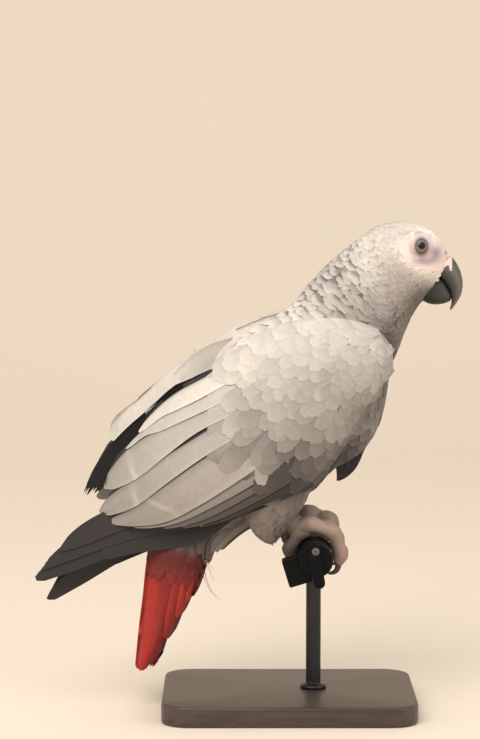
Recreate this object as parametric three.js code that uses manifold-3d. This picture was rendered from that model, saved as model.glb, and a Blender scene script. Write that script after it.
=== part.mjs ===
// A Congo African grey parrot, life size, perched on a short black bar that a plain stand holds.
// Millimetres, +Z up. The bird faces +X and its right side faces -Y. The origin is the middle of
// the stand's underside.
import * as THREE from 'three';
import { mergeVertices } from 'three/addons/utils/BufferGeometryUtils.js';
import Module from 'manifold-3d';

const wasm = await Module();
wasm.setup();

// ---- driving dimensions -------------------------------------------------------
const GAP = 0.3;                                  // parting gap between neighbouring pieces

const BASE = { length: 152, width: 112, height: 12, corner: 16, bevel: 1.5 };
const PERCH = { x: 15, z: 98, radius: 10, length: 104 };
const ROD_RADIUS = 4.5;
const CLAMP = { x: 4.2, z: 91.2, width: 14.4, height: 17, tilt: -17, y: -41.5, depth: 9 };
const LEVER = { top: 110, bottom: 82, width: 6.8, tilt: 10, depth: 3.4 };

const EYE = { x: 76.8, y: 12.5, z: 278.6, radius: 6.3 };
const FOOT_Y = 20;                                // half the distance between the feet
const TOE_RADIUS = 4.6;
const CLAW_RADIUS = 1.9;
const THIGH_Y = 20;
const HOCK = { x: -5, z: 120 };
const VANE = [0.8, 2.2];                          // stacked flight feathers: edge, middle

// The body as sections from bill to rump: `back` and `front` are the ends of each section in the
// side view as [x, z], `half` is half its width, and `full` widens it towards the front.
const BODY_SECTIONS = [
  { back: [96.6, 273.6], front: [81, 248.2], half: 8 },            // bill base
  { back: [91.6, 283], front: [78.6, 245.2], half: 13.4 },         // lores
  { back: [83, 290.8], front: [76, 241.6], half: 18 },             // brow
  { back: [72.6, 294.8], front: [73.4, 237], half: 20.8 },         // crown above the eye
  { back: [61.6, 295], front: [71, 231], half: 22.2 },             // crown
  { back: [50, 292], front: [68.6, 224.6], half: 23 },             // hind crown
  { back: [37.6, 282.4], front: [66.2, 218], half: 23.6 },         // nape
  { back: [24.4, 271.8], front: [63.6, 211.6], half: 25.4 },       // neck
  { back: [12, 258.6], front: [60.6, 204.6], half: 29 },           // neck base
  { back: [0.4, 243.6], front: [59.4, 195.6], half: 34 },          // mantle
  { back: [-14.6, 235.4], front: [58, 184], half: 38.6 },          // shoulders
  { back: [-31, 226], front: [54, 168.6], half: 40 },              // chest
  { back: [-46, 210], front: [45.4, 153.4], half: 40.4 },          // back
  { back: [-58, 190.6], front: [32.4, 142.6], half: 39 },          // breast end
  { back: [-67, 170], front: [15.6, 131], half: 35.4 },            // belly
  { back: [-74, 149], front: [-5, 121], half: 29.6 },              // vent
  { back: [-78, 130], front: [-27, 111], half: 23 },               // rump
  { back: [-78.6, 114], front: [-46, 100.4], half: 14.4 },         // tail base
];
const HEAD_END = 6;                               // the head ends at the nape section
const NECK_END = 9;                               // the neck ends at the mantle section

// A closed wing as ribs from its bend to the tips of its secondaries: [x, z] of the upper and the
// lower edge, the distances of both from the mid plane as `out`, the bulge between them, and the
// thickness at the edges and in the middle as `thick`.
const WING_RIBS = [
  { upper: [57.6, 222], lower: [58.8, 211], out: [27, 31], bulge: 1, thick: [3, 5] },
  { upper: [49, 234.6], lower: [53.4, 199], out: [27, 37], bulge: 6, thick: [7, 10] },
  { upper: [26, 240], lower: [42.4, 183], out: [31, 42], bulge: 9, thick: [11, 15] },
  { upper: [-6, 234], lower: [28, 162], out: [29, 44.4], bulge: 13, thick: [12, 16] },
  { upper: [-34, 220], lower: [10, 140], out: [24, 43], bulge: 16, thick: [10, 15] },
  { upper: [-56, 203], lower: [-18, 127], out: [14, 38], bulge: 18.6, thick: [5, 11] },
  { upper: [-77, 187], lower: [-45, 113], out: [5, 31], bulge: 18, thick: [1.6, 7] },
  { upper: [-94, 172], lower: [-70, 109], out: [4, 24], bulge: 13, thick: [1, 5.6] },
  { upper: [-105, 154], lower: [-90, 109.4], out: [4.4, 18], bulge: 8.6, thick: [0.8, 4.6] },
  { upper: [-110.6, 138], lower: [-103, 111], out: [5.4, 13.6], bulge: 4.6, thick: [0.8, 3.4] },
  { upper: [-113, 129], lower: [-110.6, 116.6], out: [7, 10.6], bulge: 1.6, thick: [0.8, 1.6] },
];
const SHOULDER = [50, 215];                       // the wings turn about this point, [x, z]

// The long flight feathers that show past the secondaries, from their base to the tip.
const PRIMARY_RIBS = [
  { upper: [-66, 132], lower: [-54, 107], out: [17, 17], bulge: 0, thick: VANE },
  { upper: [-88, 126], lower: [-76, 97.6], out: [15, 15], bulge: 0, thick: VANE },
  { upper: [-112, 119.6], lower: [-97, 91.4], out: [12, 12], bulge: 0, thick: VANE },
  { upper: [-127.6, 110.6], lower: [-116, 86.6], out: [9.4, 9.4], bulge: 0, thick: VANE },
  { upper: [-139, 99.6], lower: [-132, 82], out: [7.2, 7.2], bulge: 0, thick: VANE },
  { upper: [-148, 89.6], lower: [-143.6, 79.4], out: [5.6, 5.6], bulge: 0, thick: VANE },
  { upper: [-153, 83.4], lower: [-151.4, 80.4], out: [4.8, 4.8], bulge: 0, thick: VANE },
];
const PRIMARY_ROOT = [-60, 118];                  // each fan of primaries turns about this point

// How far each wing and its primaries are turned up about the shoulder or the root, in degrees,
// and how far they lie back. The left wing is held a little higher and its tip droops.
const LEFT_WING = { turn: 1.9, back: 9 };
const LEFT_PRIMARIES = { turn: -8.5, back: 0 };

// The folded tail, from its root to the tips of its central feathers.
const TAIL_SECTIONS = [
  { back: [-79, 116], front: [-45.6, 100.6], half: 13 },
  { back: [-84.4, 97], front: [-49, 91.6], half: 16 },
  { back: [-86.6, 79], front: [-53.6, 80.6], half: 16 },
  { back: [-88.4, 58], front: [-61, 60.6], half: 14 },
  { back: [-90.4, 41], front: [-70.6, 43], half: 11.4 },
  { back: [-92, 28.6], front: [-79.4, 29.6], half: 7.6 },
  { back: [-91.4, 24.8], front: [-84.6, 25.2], half: 4 },
];

// A feathered thigh, from inside the belly to just above the perch.
const THIGH_SECTIONS = [
  { back: [-29, 134], front: [14, 138], half: 14 },
  { back: [-26.6, 119], front: [9.6, 128], half: 14 },
  { back: [-22, 110.4], front: [3.4, 118.6], half: 11.6 },
  { back: [-16.6, 105], front: [-2.6, 110.6], half: 8 },
  { back: [-12, 103], front: [-7, 105.2], half: 4 },
];

const BILL_SECTIONS = [
  { back: [96, 275], front: [85.4, 262.4], half: 7.4 },
  { back: [100, 269.4], front: [90.4, 260.4], half: 7.4 },
  { back: [102.6, 263.4], front: [93.8, 256.8], half: 6.6 },
  { back: [103.7, 257], front: [96, 252.6], half: 5.4 },
  { back: [102.8, 250.8], front: [97, 248.8], half: 3.8 },
  { back: [100.2, 245.8], front: [97, 245.4], half: 2.2 },
  { back: [97, 241.4], front: [96.2, 241.9], half: 0.5 },
];

const LOWER_BILL_SECTIONS = [
  { back: [87.6, 262.6], front: [79.6, 247.6], half: 6.6 },
  { back: [92, 260], front: [84, 245.6], half: 6.8 },
  { back: [95, 255.4], front: [88.6, 245], half: 6.2 },
  { back: [96.8, 251.4], front: [93, 245.6], half: 4.8 },
  { back: [97, 248.8], front: [96, 246.8], half: 2.4 },
];

// The naked cere in front of the brow, as its outline in the side view.
const CERE_OUTLINE = [[90, 292], [89.6, 276], [92, 268], [95, 263], [106, 270], [104, 292]];

// ---- shape helpers ------------------------------------------------------------
const rad = THREE.MathUtils.degToRad;
const flat = ([x, z]) => new THREE.Vector3(x, 0, z);

// A closed surface through rings of equal point counts, with its ends capped.
function loft(rings) {
  const count = rings[0].length;
  const points = rings.flat();
  const faces = [];
  for (let r = 0; r + 1 < rings.length; r++) {
    for (let k = 0; k < count; k++) {
      const a = r * count + k;
      const b = r * count + ((k + 1) % count);
      faces.push([a, b, b + count], [a, b + count, a + count]);
    }
  }
  const cap = (first, flip) => {
    const centre = new THREE.Vector3();
    for (let k = 0; k < count; k++) centre.addScaledVector(points[first + k], 1 / count);
    points.push(centre);
    for (let k = 0; k < count; k++) {
      const edge = [first + k, first + ((k + 1) % count)];
      faces.push(flip ? [points.length - 1, edge[1], edge[0]] : [points.length - 1, ...edge]);
    }
  };
  cap(0, true);
  cap((rings.length - 1) * count, false);
  let volume = 0;
  for (const [a, b, c] of faces) volume += points[a].dot(points[b].clone().cross(points[c]));
  if (volume < 0) for (const face of faces) face.reverse();
  const geometry = new THREE.BufferGeometry();
  geometry.setAttribute('position', new THREE.Float32BufferAttribute(
    points.flatMap((p) => p.toArray()), 3));
  geometry.setIndex(faces.flat());
  return geometry;
}

// Values of one key of a list of stations, read along a smooth curve through them.
function along(stations, key) {
  const values = stations.map((s) => s[key]);
  const curve = new THREE.CatmullRomCurve3(values.map(
    (v) => (Array.isArray(v) ? flat(v) : new THREE.Vector3(v, 0, 0))));
  return Array.isArray(values[0]) ? (t) => curve.getPoint(t) : (t) => curve.getPoint(t).x;
}

// One rounded section between a back and a front point of the side view.
function section(back, front, half, { y = 0, grow = 0, power = 2, count = 28 }) {
  const centre = back.clone().add(front).multiplyScalar(0.5);
  const axis = back.clone().sub(front);
  const depth = axis.length() / 2 + grow;
  axis.normalize();
  const bow = (v) => Math.sign(v) * Math.abs(v) ** (2 / power);
  return Array.from({ length: count }, (_, k) => {
    const angle = (2 * Math.PI * k) / count;
    const point = centre.clone().addScaledVector(axis, depth * bow(Math.cos(angle)));
    point.y = y + (half + grow) * bow(Math.sin(angle));
    return point;
  });
}

// A lofted body through named sections; `grow` makes the slightly larger copy used for cutting.
function sectioned(stations, steps, options = {}) {
  const back = along(stations, 'back');
  const front = along(stations, 'front');
  const half = along(stations, 'half');
  return loft(Array.from({ length: steps + 1 }, (_, i) => {
    const t = i / steps;
    return section(back(t), front(t), half(t), options);
  }));
}

// [x, z] turned up about a pivot and moved back: how a folded wing is raised or lowered.
function posed(point, pivot, { turn, back }) {
  const c = Math.cos(rad(-turn));
  const s = Math.sin(rad(-turn));
  const dx = point.x - pivot[0];
  const dz = point.z - pivot[1];
  return new THREE.Vector3(pivot[0] + dx * c - dz * s - back, point.y, pivot[1] + dx * s + dz * c);
}

// A curved blade between an upper and a lower edge: a folded wing or a fan of primaries.
function blade(ribs, { side, pivot, pose, steps, grow = 0, count = 7, yShift = 0 }) {
  const read = Object.fromEntries(Object.keys(ribs[0]).map((key) => [key, along(ribs, key)]));
  const rings = [];
  for (let i = 0; i <= steps; i++) {
    const t = i / steps;
    const upper = posed(read.upper(t), pivot, pose);
    const lower = posed(read.lower(t), pivot, pose);
    const { x: yUpper, z: yLower } = read.out(t);
    const { x: edge, z: middle } = read.thick(t);
    const bulge = read.bulge(t);
    const chord = lower.clone().sub(upper);
    const length = chord.length();
    const down = chord.clone().normalize();
    const outer = [];
    const inner = [];
    for (let k = 0; k <= count; k++) {
      const v = k / count;
      const swell = Math.sin(Math.PI * v) ** 0.85;
      const slope = (yLower - yUpper + bulge * Math.PI * Math.cos(Math.PI * v)) / length;
      const y = THREE.MathUtils.lerp(yUpper, yLower, v) + bulge * swell + yShift;
      const tilt = Math.hypot(1, slope);
      const depth = THREE.MathUtils.lerp(edge, middle, swell ** 0.6);
      const skin = (offset) => {
        const point = upper.clone().addScaledVector(down, v * length - (offset * slope) / tilt);
        point.y = side * (y + offset / tilt);
        return point;
      };
      outer.push(skin(grow));
      inner.push(skin(-depth - grow));
    }
    const out = (ring, amount) => ring.addScaledVector(down, amount);
    out(outer[0], -grow), out(inner[0], -grow), out(outer[count], grow), out(inner[count], grow);
    rings.push([...outer, ...inner.reverse()]);
  }
  return loft(rings);
}

// A tapering round limb along a path of centres, with a radius at each.
function limb(path, radii, { count = 7, grow = 0 } = {}) {
  const curve = new THREE.CatmullRomCurve3(path);
  const steps = path.length - 1;
  return loft(path.map((_, i) => {
    const centre = curve.getPoint(i / steps);
    const forward = curve.getTangent(i / steps);
    const side = new THREE.Vector3(0, 1, 0).cross(forward).normalize();
    const other = forward.clone().cross(side).normalize();
    return Array.from({ length: count }, (__, k) => {
      const angle = (2 * Math.PI * k) / count;
      return centre.clone()
        .addScaledVector(side, (radii[i] + grow) * Math.cos(angle))
        .addScaledVector(other, (radii[i] + grow) * Math.sin(angle));
    });
  }));
}

// ---- solids -------------------------------------------------------------------
function solid(geometry) {
  const bare = geometry.clone();
  bare.deleteAttribute('normal');
  bare.deleteAttribute('uv');
  const merged = mergeVertices(bare, 1e-4);
  return new wasm.Manifold(new wasm.Mesh({
    numProp: 3,
    vertProperties: new Float32Array(merged.attributes.position.array),
    triVerts: new Uint32Array(merged.index.array),
  }));
}

function geometryOf(manifold) {
  const { vertProperties, triVerts } = manifold.getMesh();
  const geometry = new THREE.BufferGeometry();
  geometry.setAttribute('position', new THREE.BufferAttribute(vertProperties, 3));
  geometry.setIndex(new THREE.BufferAttribute(triVerts, 1));
  return geometry;
}

const cut = (whole, ...tools) => tools.reduce((rest, tool) => rest.subtract(tool), whole);

// The largest piece left by a cut, without slivers.
const largest = (manifold) => manifold.decompose()
  .reduce((a, b) => (a.volume() > b.volume() ? a : b));

// The part of the body between two of its sections, with half the parting gap at each cut.
function between(body, from, to) {
  const plane = (index, sign) => {
    const { back, front } = BODY_SECTIONS[index];
    const normal = flat(back).sub(flat(front)).cross(new THREE.Vector3(0, 1, 0)).normalize();
    normal.multiplyScalar(sign * Math.sign(normal.x));
    return { normal: normal.toArray(), offset: normal.dot(flat(back)) + GAP / 2 };
  };
  let piece = body;
  if (from !== null) {
    const { normal, offset } = plane(from, -1);
    piece = piece.trimByPlane(normal, offset);
  }
  if (to !== null) {
    const { normal, offset } = plane(to, 1);
    piece = piece.trimByPlane(normal, offset);
  }
  return largest(piece);
}

// A prism over a side-view outline, across the whole width of the bird.
function prism(outline, width, grow = 0) {
  const centre = outline.reduce(([a, b], [x, z]) => [a + x / outline.length, b + z / outline.length],
    [0, 0]);
  const grown = outline.map(([x, z]) => {
    const d = Math.hypot(x - centre[0], z - centre[1]);
    return new THREE.Vector2(x + (grow * (x - centre[0])) / d, z + (grow * (z - centre[1])) / d);
  });
  const geometry = new THREE.ExtrudeGeometry(new THREE.Shape(grown),
    { depth: width, bevelEnabled: false });
  return solid(geometry.rotateX(Math.PI / 2).translate(0, width / 2, 0));
}

// ---- materials ----------------------------------------------------------------
const material = (color, roughness = 0.8, metalness = 0) =>
  new THREE.MeshStandardMaterial({ color, roughness, metalness });
const PALE_GREY = 0xc9c1b4;
const WING_GREY = 0xb9b0a3;
const PRIMARY_GREY = 0x4a423e;
const TAIL_RED = 0xc03a26;
const BILL_BLACK = 0x3a3836;
const SKIN_WHITE = 0xf0ddd0;
const THIGH_GREY = 0x988a7c;
const FOOT_GREY = 0x7c6c60;
const PERCH_BLACK = 0x201e1f;
const STAND_BLACK = 0x2b2624;
const IRIS_GREY = 0x9a8e86;

const parrot = new THREE.Group();
function add(name, shape, finish) {
  const geometry = shape.isBufferGeometry ? shape : geometryOf(shape);
  const mesh = new THREE.Mesh(geometry, finish);
  mesh.name = name;
  parrot.add(mesh);
  return mesh;
}

// ---- bill and eyes ------------------------------------------------------------
const BILL_STEPS = 9;
const round = { count: 12 };
const upperBill = solid(sectioned(BILL_SECTIONS, BILL_STEPS, round));
const upperBillCut = solid(sectioned(BILL_SECTIONS, BILL_STEPS, { ...round, grow: GAP }));
const lowerWhole = solid(sectioned(LOWER_BILL_SECTIONS, BILL_STEPS, round));
const lowerBill = largest(cut(lowerWhole, upperBillCut));
const lowerBillCut = solid(sectioned(LOWER_BILL_SECTIONS, BILL_STEPS, { ...round, grow: GAP }));

const eyeball = (radius, side) =>
  new THREE.SphereGeometry(radius, 14, 9).translate(EYE.x, side * EYE.y, EYE.z);
const eyeCuts = [-1, 1].map((side) => solid(eyeball(EYE.radius + GAP, side)));

// ---- head, neck and trunk -----------------------------------------------------
const BODY_STEPS = 34;
const fleshed = { count: 20, power: 2.12 };
const body = solid(sectioned(BODY_SECTIONS, BODY_STEPS, fleshed));
const bodyCut = solid(sectioned(BODY_SECTIONS, BODY_STEPS, { ...fleshed, grow: GAP }));
const skull = cut(between(body, null, HEAD_END), upperBillCut, lowerBillCut, ...eyeCuts);
const cereWidth = 60;
const cere = largest(skull.intersect(prism(CERE_OUTLINE, cereWidth)));
const head = largest(cut(skull, prism(CERE_OUTLINE, cereWidth, GAP)));

add('head', head, material(PALE_GREY));
add('cere', cere, material(SKIN_WHITE, 0.6));
add('neck', between(body, HEAD_END, NECK_END), material(PALE_GREY));
add('trunk', between(body, NECK_END, null), material(WING_GREY));
add('upper_bill', upperBill, material(BILL_BLACK, 0.35));
add('lower_bill', lowerBill, material(BILL_BLACK, 0.35));

// ---- wings and primaries ------------------------------------------------------
const WING_STEPS = 18;
const PRIMARY_STEPS = 10;
const straight = { turn: 0, back: 0 };
const sides = [
  { name: 'right', side: -1, wing: straight, primaries: straight, yShift: 0 },
  { name: 'left', side: 1, wing: LEFT_WING, primaries: LEFT_PRIMARIES, yShift: -1 },
];
const wingCuts = [];
for (const { name, side, wing, primaries, yShift } of sides) {
  const wingOf = (grow) => solid(blade(WING_RIBS,
    { side, pivot: SHOULDER, pose: wing, steps: WING_STEPS, grow }));
  const primariesOf = (grow) => solid(blade(PRIMARY_RIBS,
    { side, pivot: PRIMARY_ROOT, pose: primaries, steps: PRIMARY_STEPS, grow, count: 3, yShift }));
  add(`wing_${name}`, largest(cut(wingOf(0), bodyCut)), material(WING_GREY));
  const tipCut = cut(primariesOf(0), bodyCut, wingOf(GAP));
  add(`primaries_${name}`, largest(tipCut), material(PRIMARY_GREY));
  wingCuts.push(wingOf(GAP), primariesOf(GAP));
  add(`eye_${name}`, eyeball(EYE.radius, side), material(IRIS_GREY, 0.15));
}

// ---- tail ---------------------------------------------------------------------
const tail = solid(sectioned(TAIL_SECTIONS, 12, { count: 16, power: 1.7 }));
add('tail', largest(cut(tail, bodyCut, ...wingCuts)), material(TAIL_RED));

// ---- perch and stand ----------------------------------------------------------
const perchBar = (radius) => new THREE.CylinderGeometry(radius, radius, PERCH.length, 28)
  .translate(PERCH.x, 0, PERCH.z);
add('perch_bar', perchBar(PERCH.radius), material(PERCH_BLACK, 0.45, 0.3));

// A square clamp block under the near end of the bar, cut away where the bar passes through it.
const clampBlock = solid(new THREE.BoxGeometry(CLAMP.width, CLAMP.depth, CLAMP.height)
  .rotateY(rad(CLAMP.tilt)).translate(CLAMP.x, CLAMP.y, CLAMP.z));
add('perch_clamp', largest(cut(clampBlock, solid(perchBar(PERCH.radius + GAP)))),
  material(PERCH_BLACK, 0.5, 0.3));

// A flat lever with round ends on the bar's near end.
const leverLength = LEVER.top - LEVER.bottom - LEVER.width;
const leverShape = new THREE.Shape()
  .absarc(0, leverLength / 2, LEVER.width / 2, 0, Math.PI)
  .absarc(0, -leverLength / 2, LEVER.width / 2, Math.PI, 2 * Math.PI);
const lever = new THREE.ExtrudeGeometry(leverShape,
  { depth: LEVER.depth, bevelEnabled: false, curveSegments: 8 });
lever.rotateX(Math.PI / 2).rotateY(rad(-LEVER.tilt))
  .translate(PERCH.x, -PERCH.length / 2 - GAP, (LEVER.top + LEVER.bottom) / 2);
add('perch_lever', lever, material(PERCH_BLACK, 0.4, 0.4));

const rodTop = PERCH.z - PERCH.radius - GAP;
const rodBottom = BASE.height + GAP;
add('stand_rod', new THREE.CylinderGeometry(ROD_RADIUS, ROD_RADIUS, rodTop - rodBottom, 24)
  .rotateX(Math.PI / 2).translate(PERCH.x, 0, (rodTop + rodBottom) / 2),
material(PERCH_BLACK, 0.35, 0.8));

const plate = new THREE.Shape();
const halfLength = BASE.length / 2 - BASE.bevel;
const halfWidth = BASE.width / 2 - BASE.bevel;
const corner = BASE.corner - BASE.bevel;
for (const [x, y, turn] of [[1, 1, 0], [-1, 1, 1], [-1, -1, 2], [1, -1, 3]]) {
  plate.absarc(x * (halfLength - corner), y * (halfWidth - corner), corner,
    (turn * Math.PI) / 2, ((turn + 1) * Math.PI) / 2);
}
const base = new THREE.ExtrudeGeometry(plate, {
  depth: BASE.height - BASE.bevel, bevelThickness: BASE.bevel, bevelSize: BASE.bevel,
  bevelSegments: 1, curveSegments: 5, steps: 1,
});
add('stand_base', solid(base).trimByPlane([0, 0, 1], 0), material(STAND_BLACK, 0.5));

// ---- legs and feet ------------------------------------------------------------
// Centres of a toe that wraps the bar from angle `from` to `to`, splayed sideways as it goes.
function wrapped(y, splay, from, to, radii, lift) {
  return radii.map((radius, i) => {
    const t = i / (radii.length - 1);
    const angle = rad(THREE.MathUtils.lerp(from, to, t));
    const reach = PERCH.radius + radius + GAP + lift(t);
    return new THREE.Vector3(PERCH.x + reach * Math.cos(angle),
      y + splay * (0.4 + 0.6 * Math.sqrt(t)), PERCH.z + reach * Math.sin(angle));
  });
}

// A toe's radius swells at each pad and thins towards the claw.
const PADS = [0.96, 1.03, 0.93, 1, 0.86, 0.9, 0.74];
const CLAW_TAPER = [1, 0.98, 0.86, 0.68, 0.46, 0.24];
const PAD_ANGLE = 118;                            // where on the bar the sole of the foot sits
const SOLE = 6;                                   // the sole's thickness over the bar
const ARCH = 2.4;                                 // how far the front toes stand off at first
const TOES = [
  { splay: -6.4, end: -22, claw: -62, size: 1 },   // outer front toe
  { splay: 6, end: -2, claw: -42, size: 0.92 },    // inner front toe
  { splay: -5.6, end: 226, claw: 260, size: 0.92 }, // outer rear toe
  { splay: 5, end: 204, claw: 238, size: 0.8 },    // inner rear toe
];

for (const { name, side } of sides) {
  const y = side * FOOT_Y;
  const thighOf = (grow) => solid(sectioned(THIGH_SECTIONS, 8,
    { y: side * THIGH_Y, grow, count: 14 }));
  add(`thigh_${name}`, largest(cut(thighOf(0), bodyCut, ...wingCuts)), material(THIGH_GREY));

  const sole = new THREE.Vector3(
    PERCH.x + (PERCH.radius + SOLE) * Math.cos(rad(PAD_ANGLE)), y,
    PERCH.z + (PERCH.radius + SOLE) * Math.sin(rad(PAD_ANGLE)));
  const hock = new THREE.Vector3(HOCK.x, y, HOCK.z);
  const shank = [hock, hock.clone().lerp(sole, 0.4), hock.clone().lerp(sole, 0.75),
    sole, sole.clone().add(new THREE.Vector3(4, 0, 1.6))];
  let foot = solid(limb(shank, [6.6, 6.4, 6.2, 5.8, 4.2], { count: 10 }));
  const claws = [];
  TOES.forEach(({ splay, end, claw, size }, index) => {
    const radii = PADS.map((pad) => pad * TOE_RADIUS * size);
    const across = -side * splay;
    const rear = end > PAD_ANGLE;
    const start = rear ? PAD_ANGLE - 8 : PAD_ANGLE + 4;
    const arch = (t) => (rear ? 0 : ARCH * Math.cos((Math.PI * t) / 2) ** 2);
    foot = foot.add(solid(limb(wrapped(y, across, start, end, radii, arch), radii)));
    const clawRadii = CLAW_TAPER.map((taper) => taper * CLAW_RADIUS);
    const lead = (claw - end) * 0.12;
    const clawPath = wrapped(y + across, 0, end - lead, claw, clawRadii,
      (t) => 1.2 + 3 * Math.sin(Math.PI * t));
    claws.push({ index, path: clawPath, radii: clawRadii });
  });
  const barCut = solid(perchBar(PERCH.radius + GAP / 2));
  const clawSolid = (claw, grow) => solid(limb(claw.path, claw.radii, { grow, count: 5 }));
  foot = cut(foot, thighOf(GAP), barCut, ...claws.map((claw) => clawSolid(claw, GAP)));
  add(`foot_${name}`, largest(foot), material(FOOT_GREY, 0.7));
  for (const claw of claws) {
    const shape = largest(cut(clawSolid(claw, 0), barCut));
    add(`claw_${name}_${claw.index + 1}`, shape, material(BILL_BLACK, 0.4));
  }
}

export default parrot;
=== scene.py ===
"""A life-size Congo African grey parrot on a short bar, feathered over one skin."""

import math
from functools import cache

import bmesh
import bpy
import numpy as np
from bpy.props import FloatProperty, FloatVectorProperty, IntProperty, PointerProperty
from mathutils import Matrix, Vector
from mathutils.bvhtree import BVHTree
from mathutils.kdtree import KDTree


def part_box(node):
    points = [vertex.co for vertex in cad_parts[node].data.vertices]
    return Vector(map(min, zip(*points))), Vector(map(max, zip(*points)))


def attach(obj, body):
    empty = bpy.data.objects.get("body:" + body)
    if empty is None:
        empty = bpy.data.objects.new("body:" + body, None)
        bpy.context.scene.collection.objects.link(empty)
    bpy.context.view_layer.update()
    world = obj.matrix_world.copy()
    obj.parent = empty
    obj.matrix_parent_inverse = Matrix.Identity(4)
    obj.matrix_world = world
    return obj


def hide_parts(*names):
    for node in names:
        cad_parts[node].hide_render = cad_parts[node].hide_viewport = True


bl_info = {
    "name": "Grey Parrot Display Model",
    "version": (1, 0, 0),
    "blender": (4, 5, 0),
    "location": "3D View > Sidebar > Parrot",
    "description": "Skin, plumage, bill, eyes, feet, perch and stand over the packed frame",
    "category": "Object",
}

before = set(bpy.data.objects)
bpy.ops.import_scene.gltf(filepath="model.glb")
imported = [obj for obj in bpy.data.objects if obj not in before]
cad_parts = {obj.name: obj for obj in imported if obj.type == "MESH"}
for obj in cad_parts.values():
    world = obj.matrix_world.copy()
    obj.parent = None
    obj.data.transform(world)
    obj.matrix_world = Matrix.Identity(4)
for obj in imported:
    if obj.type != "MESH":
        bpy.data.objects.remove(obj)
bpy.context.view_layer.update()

MM = 0.001
SIDES = {"right": -1, "left": 1}
FAR_OUT = 90  # further to the side than any part of the bird

# ---- body landmarks, in millimetres ----------------------------------------------------
# Rings down the body from the bill's base to the tail's: centre x, z and the tilt of the
# line from the throat side to the back, in degrees.
SPINE = [
    (88.8, 261.0, 58), (85.0, 264.0, 71), (79.5, 266.0, 82), (73.0, 266.0, 91),
    (66.3, 263.0, 98), (59.3, 258.0, 105), (51.9, 250.0, 114), (44.0, 241.7, 123),
    (36.3, 231.6, 132), (29.9, 219.6, 141), (21.7, 209.7, 145), (11.5, 197.3, 146),
    (-0.3, 181.7, 148), (-12.8, 166.6, 152), (-25.7, 150.5, 155), (-39.5, 135.0, 158),
    (-52.5, 120.5, 160), (-62.3, 107.2, 157),
]
LAST = len(SPINE) - 1
EYE = np.array((77.8, 12.5, 280.2))
EYE_RADIUS = 6.3
IRIS_REACH = 6.0  # how far out the eye's colours are set
GAZE = (0.15, 0.55)  # how far the pupil sits ahead of and above the middle of the eye
LID_WIDE, LID_TALL = 1.13, 0.89
NOSTRIL = (93.4, 275.9)

# A closed wing from its bend to the tips of the secondaries: x, z of the upper edge and of
# the lower edge, and how deep the wing's edges are.
WING_RIBS = [
    (60.5, 223.5, 61.5, 208, 6), (57.4, 225.5, 59.2, 206, 7), (49, 234.6, 53.4, 199, 8.5),
    (26, 240, 42.4, 183, 11),
    (-6, 234, 28, 162, 12), (-34, 220, 10, 140, 10), (-56, 203, -18, 127, 5),
    (-77, 187, -45, 113, 2.4), (-94, 172, -70, 109, 1.6), (-105, 154, -90, 109.4, 1.2),
    (-110.6, 138, -103, 111, 1), (-113, 129, -110.6, 116.6, 0.8),
]
WING_PIVOT = (50, 215)
WING_POSE = {"right": (0, 0), "left": (1.9, 9)}
PRIMARY_PIVOT = (-60, 118)
PRIMARY_POSE = {"right": 0, "left": -8.5}

# Lofted forms: back x, z, front x, z, half width.
BILL = [
    (96.2, 274.2, 85.4, 262.4, 6.9), (99.9, 269.2, 90.4, 260.4, 7.4),
    (102.6, 263.4, 93.8, 256.8, 6.6), (103.7, 257, 96, 252.6, 5.4),
    (102.8, 250.8, 97, 248.8, 3.8), (100.2, 245.8, 97, 245.4, 2.2),
    (97, 241.4, 96.2, 241.9, 0.5),
]
LOWER_BILL = [
    (87.6, 262.6, 79.6, 247.6, 6.6), (92, 260, 84, 245.6, 6.8), (95, 255.4, 88.6, 245, 6.2),
    (96.8, 251.4, 93, 245.6, 4.8), (97, 248.8, 96, 246.8, 2.4),
]
THIGH = [
    (-29, 134, 14, 138, 14), (-26.6, 119, 9.6, 128, 14), (-22, 110.4, 3.4, 118.6, 11.6),
    (-16.6, 105, -2.6, 110.6, 8), (-12, 103, -7, 105.2, 4),
]
THIGH_Y = 20
FOOT_Y = 20
HOCK = (-5, 120)
BAR = {"x": 15, "z": 98, "radius": 10, "length": 104}
BAR_CENTRE = np.array((BAR["x"], 0, BAR["z"]))
TOES = [
    {"splay": -6.4, "end": -22, "claw": -62, "size": 1.0},
    {"splay": 6.0, "end": -2, "claw": -42, "size": 0.92},
    {"splay": -5.6, "end": 226, "claw": 260, "size": 0.92},
    {"splay": 5.0, "end": 204, "claw": 238, "size": 0.8},
]
TOE_RADIUS = 4.6
CLAW_RADIUS = 1.9
SOLE_ANGLE = 118


# ---- small numeric helpers -------------------------------------------------------------
def srgb(*values):
    """A colour written 0 to 255, as linear light."""
    c = np.asarray(values, float) / 255
    return tuple(np.where(c <= 0.04045, c / 12.92, ((c + 0.055) / 1.055) ** 2.4))


def smooth(x, low, high):
    """0 below low, 1 above high, with an eased ramp between."""
    x = np.clip((np.asarray(x, float) - low) / (high - low), 0, 1)
    return x * x * (3 - 2 * x)


def mix(a, b, share):
    """Values a turned into values b by a share at each place."""
    share = np.asarray(share, float)
    return np.asarray(a) * (1 - share[..., None]) + np.asarray(b) * share[..., None]


def bell(x, width):
    """1 where x is 0, falling to nearly 0 at twice the width."""
    return np.exp(-((x / width) ** 2))


def circle(count):
    """Angles evenly spaced round a circle."""
    return math.tau * np.arange(count) / count


def unit(v):
    """Vectors brought to a length of 1."""
    return v / np.maximum(np.linalg.norm(v, axis=-1, keepdims=True), 1e-9)


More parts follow.
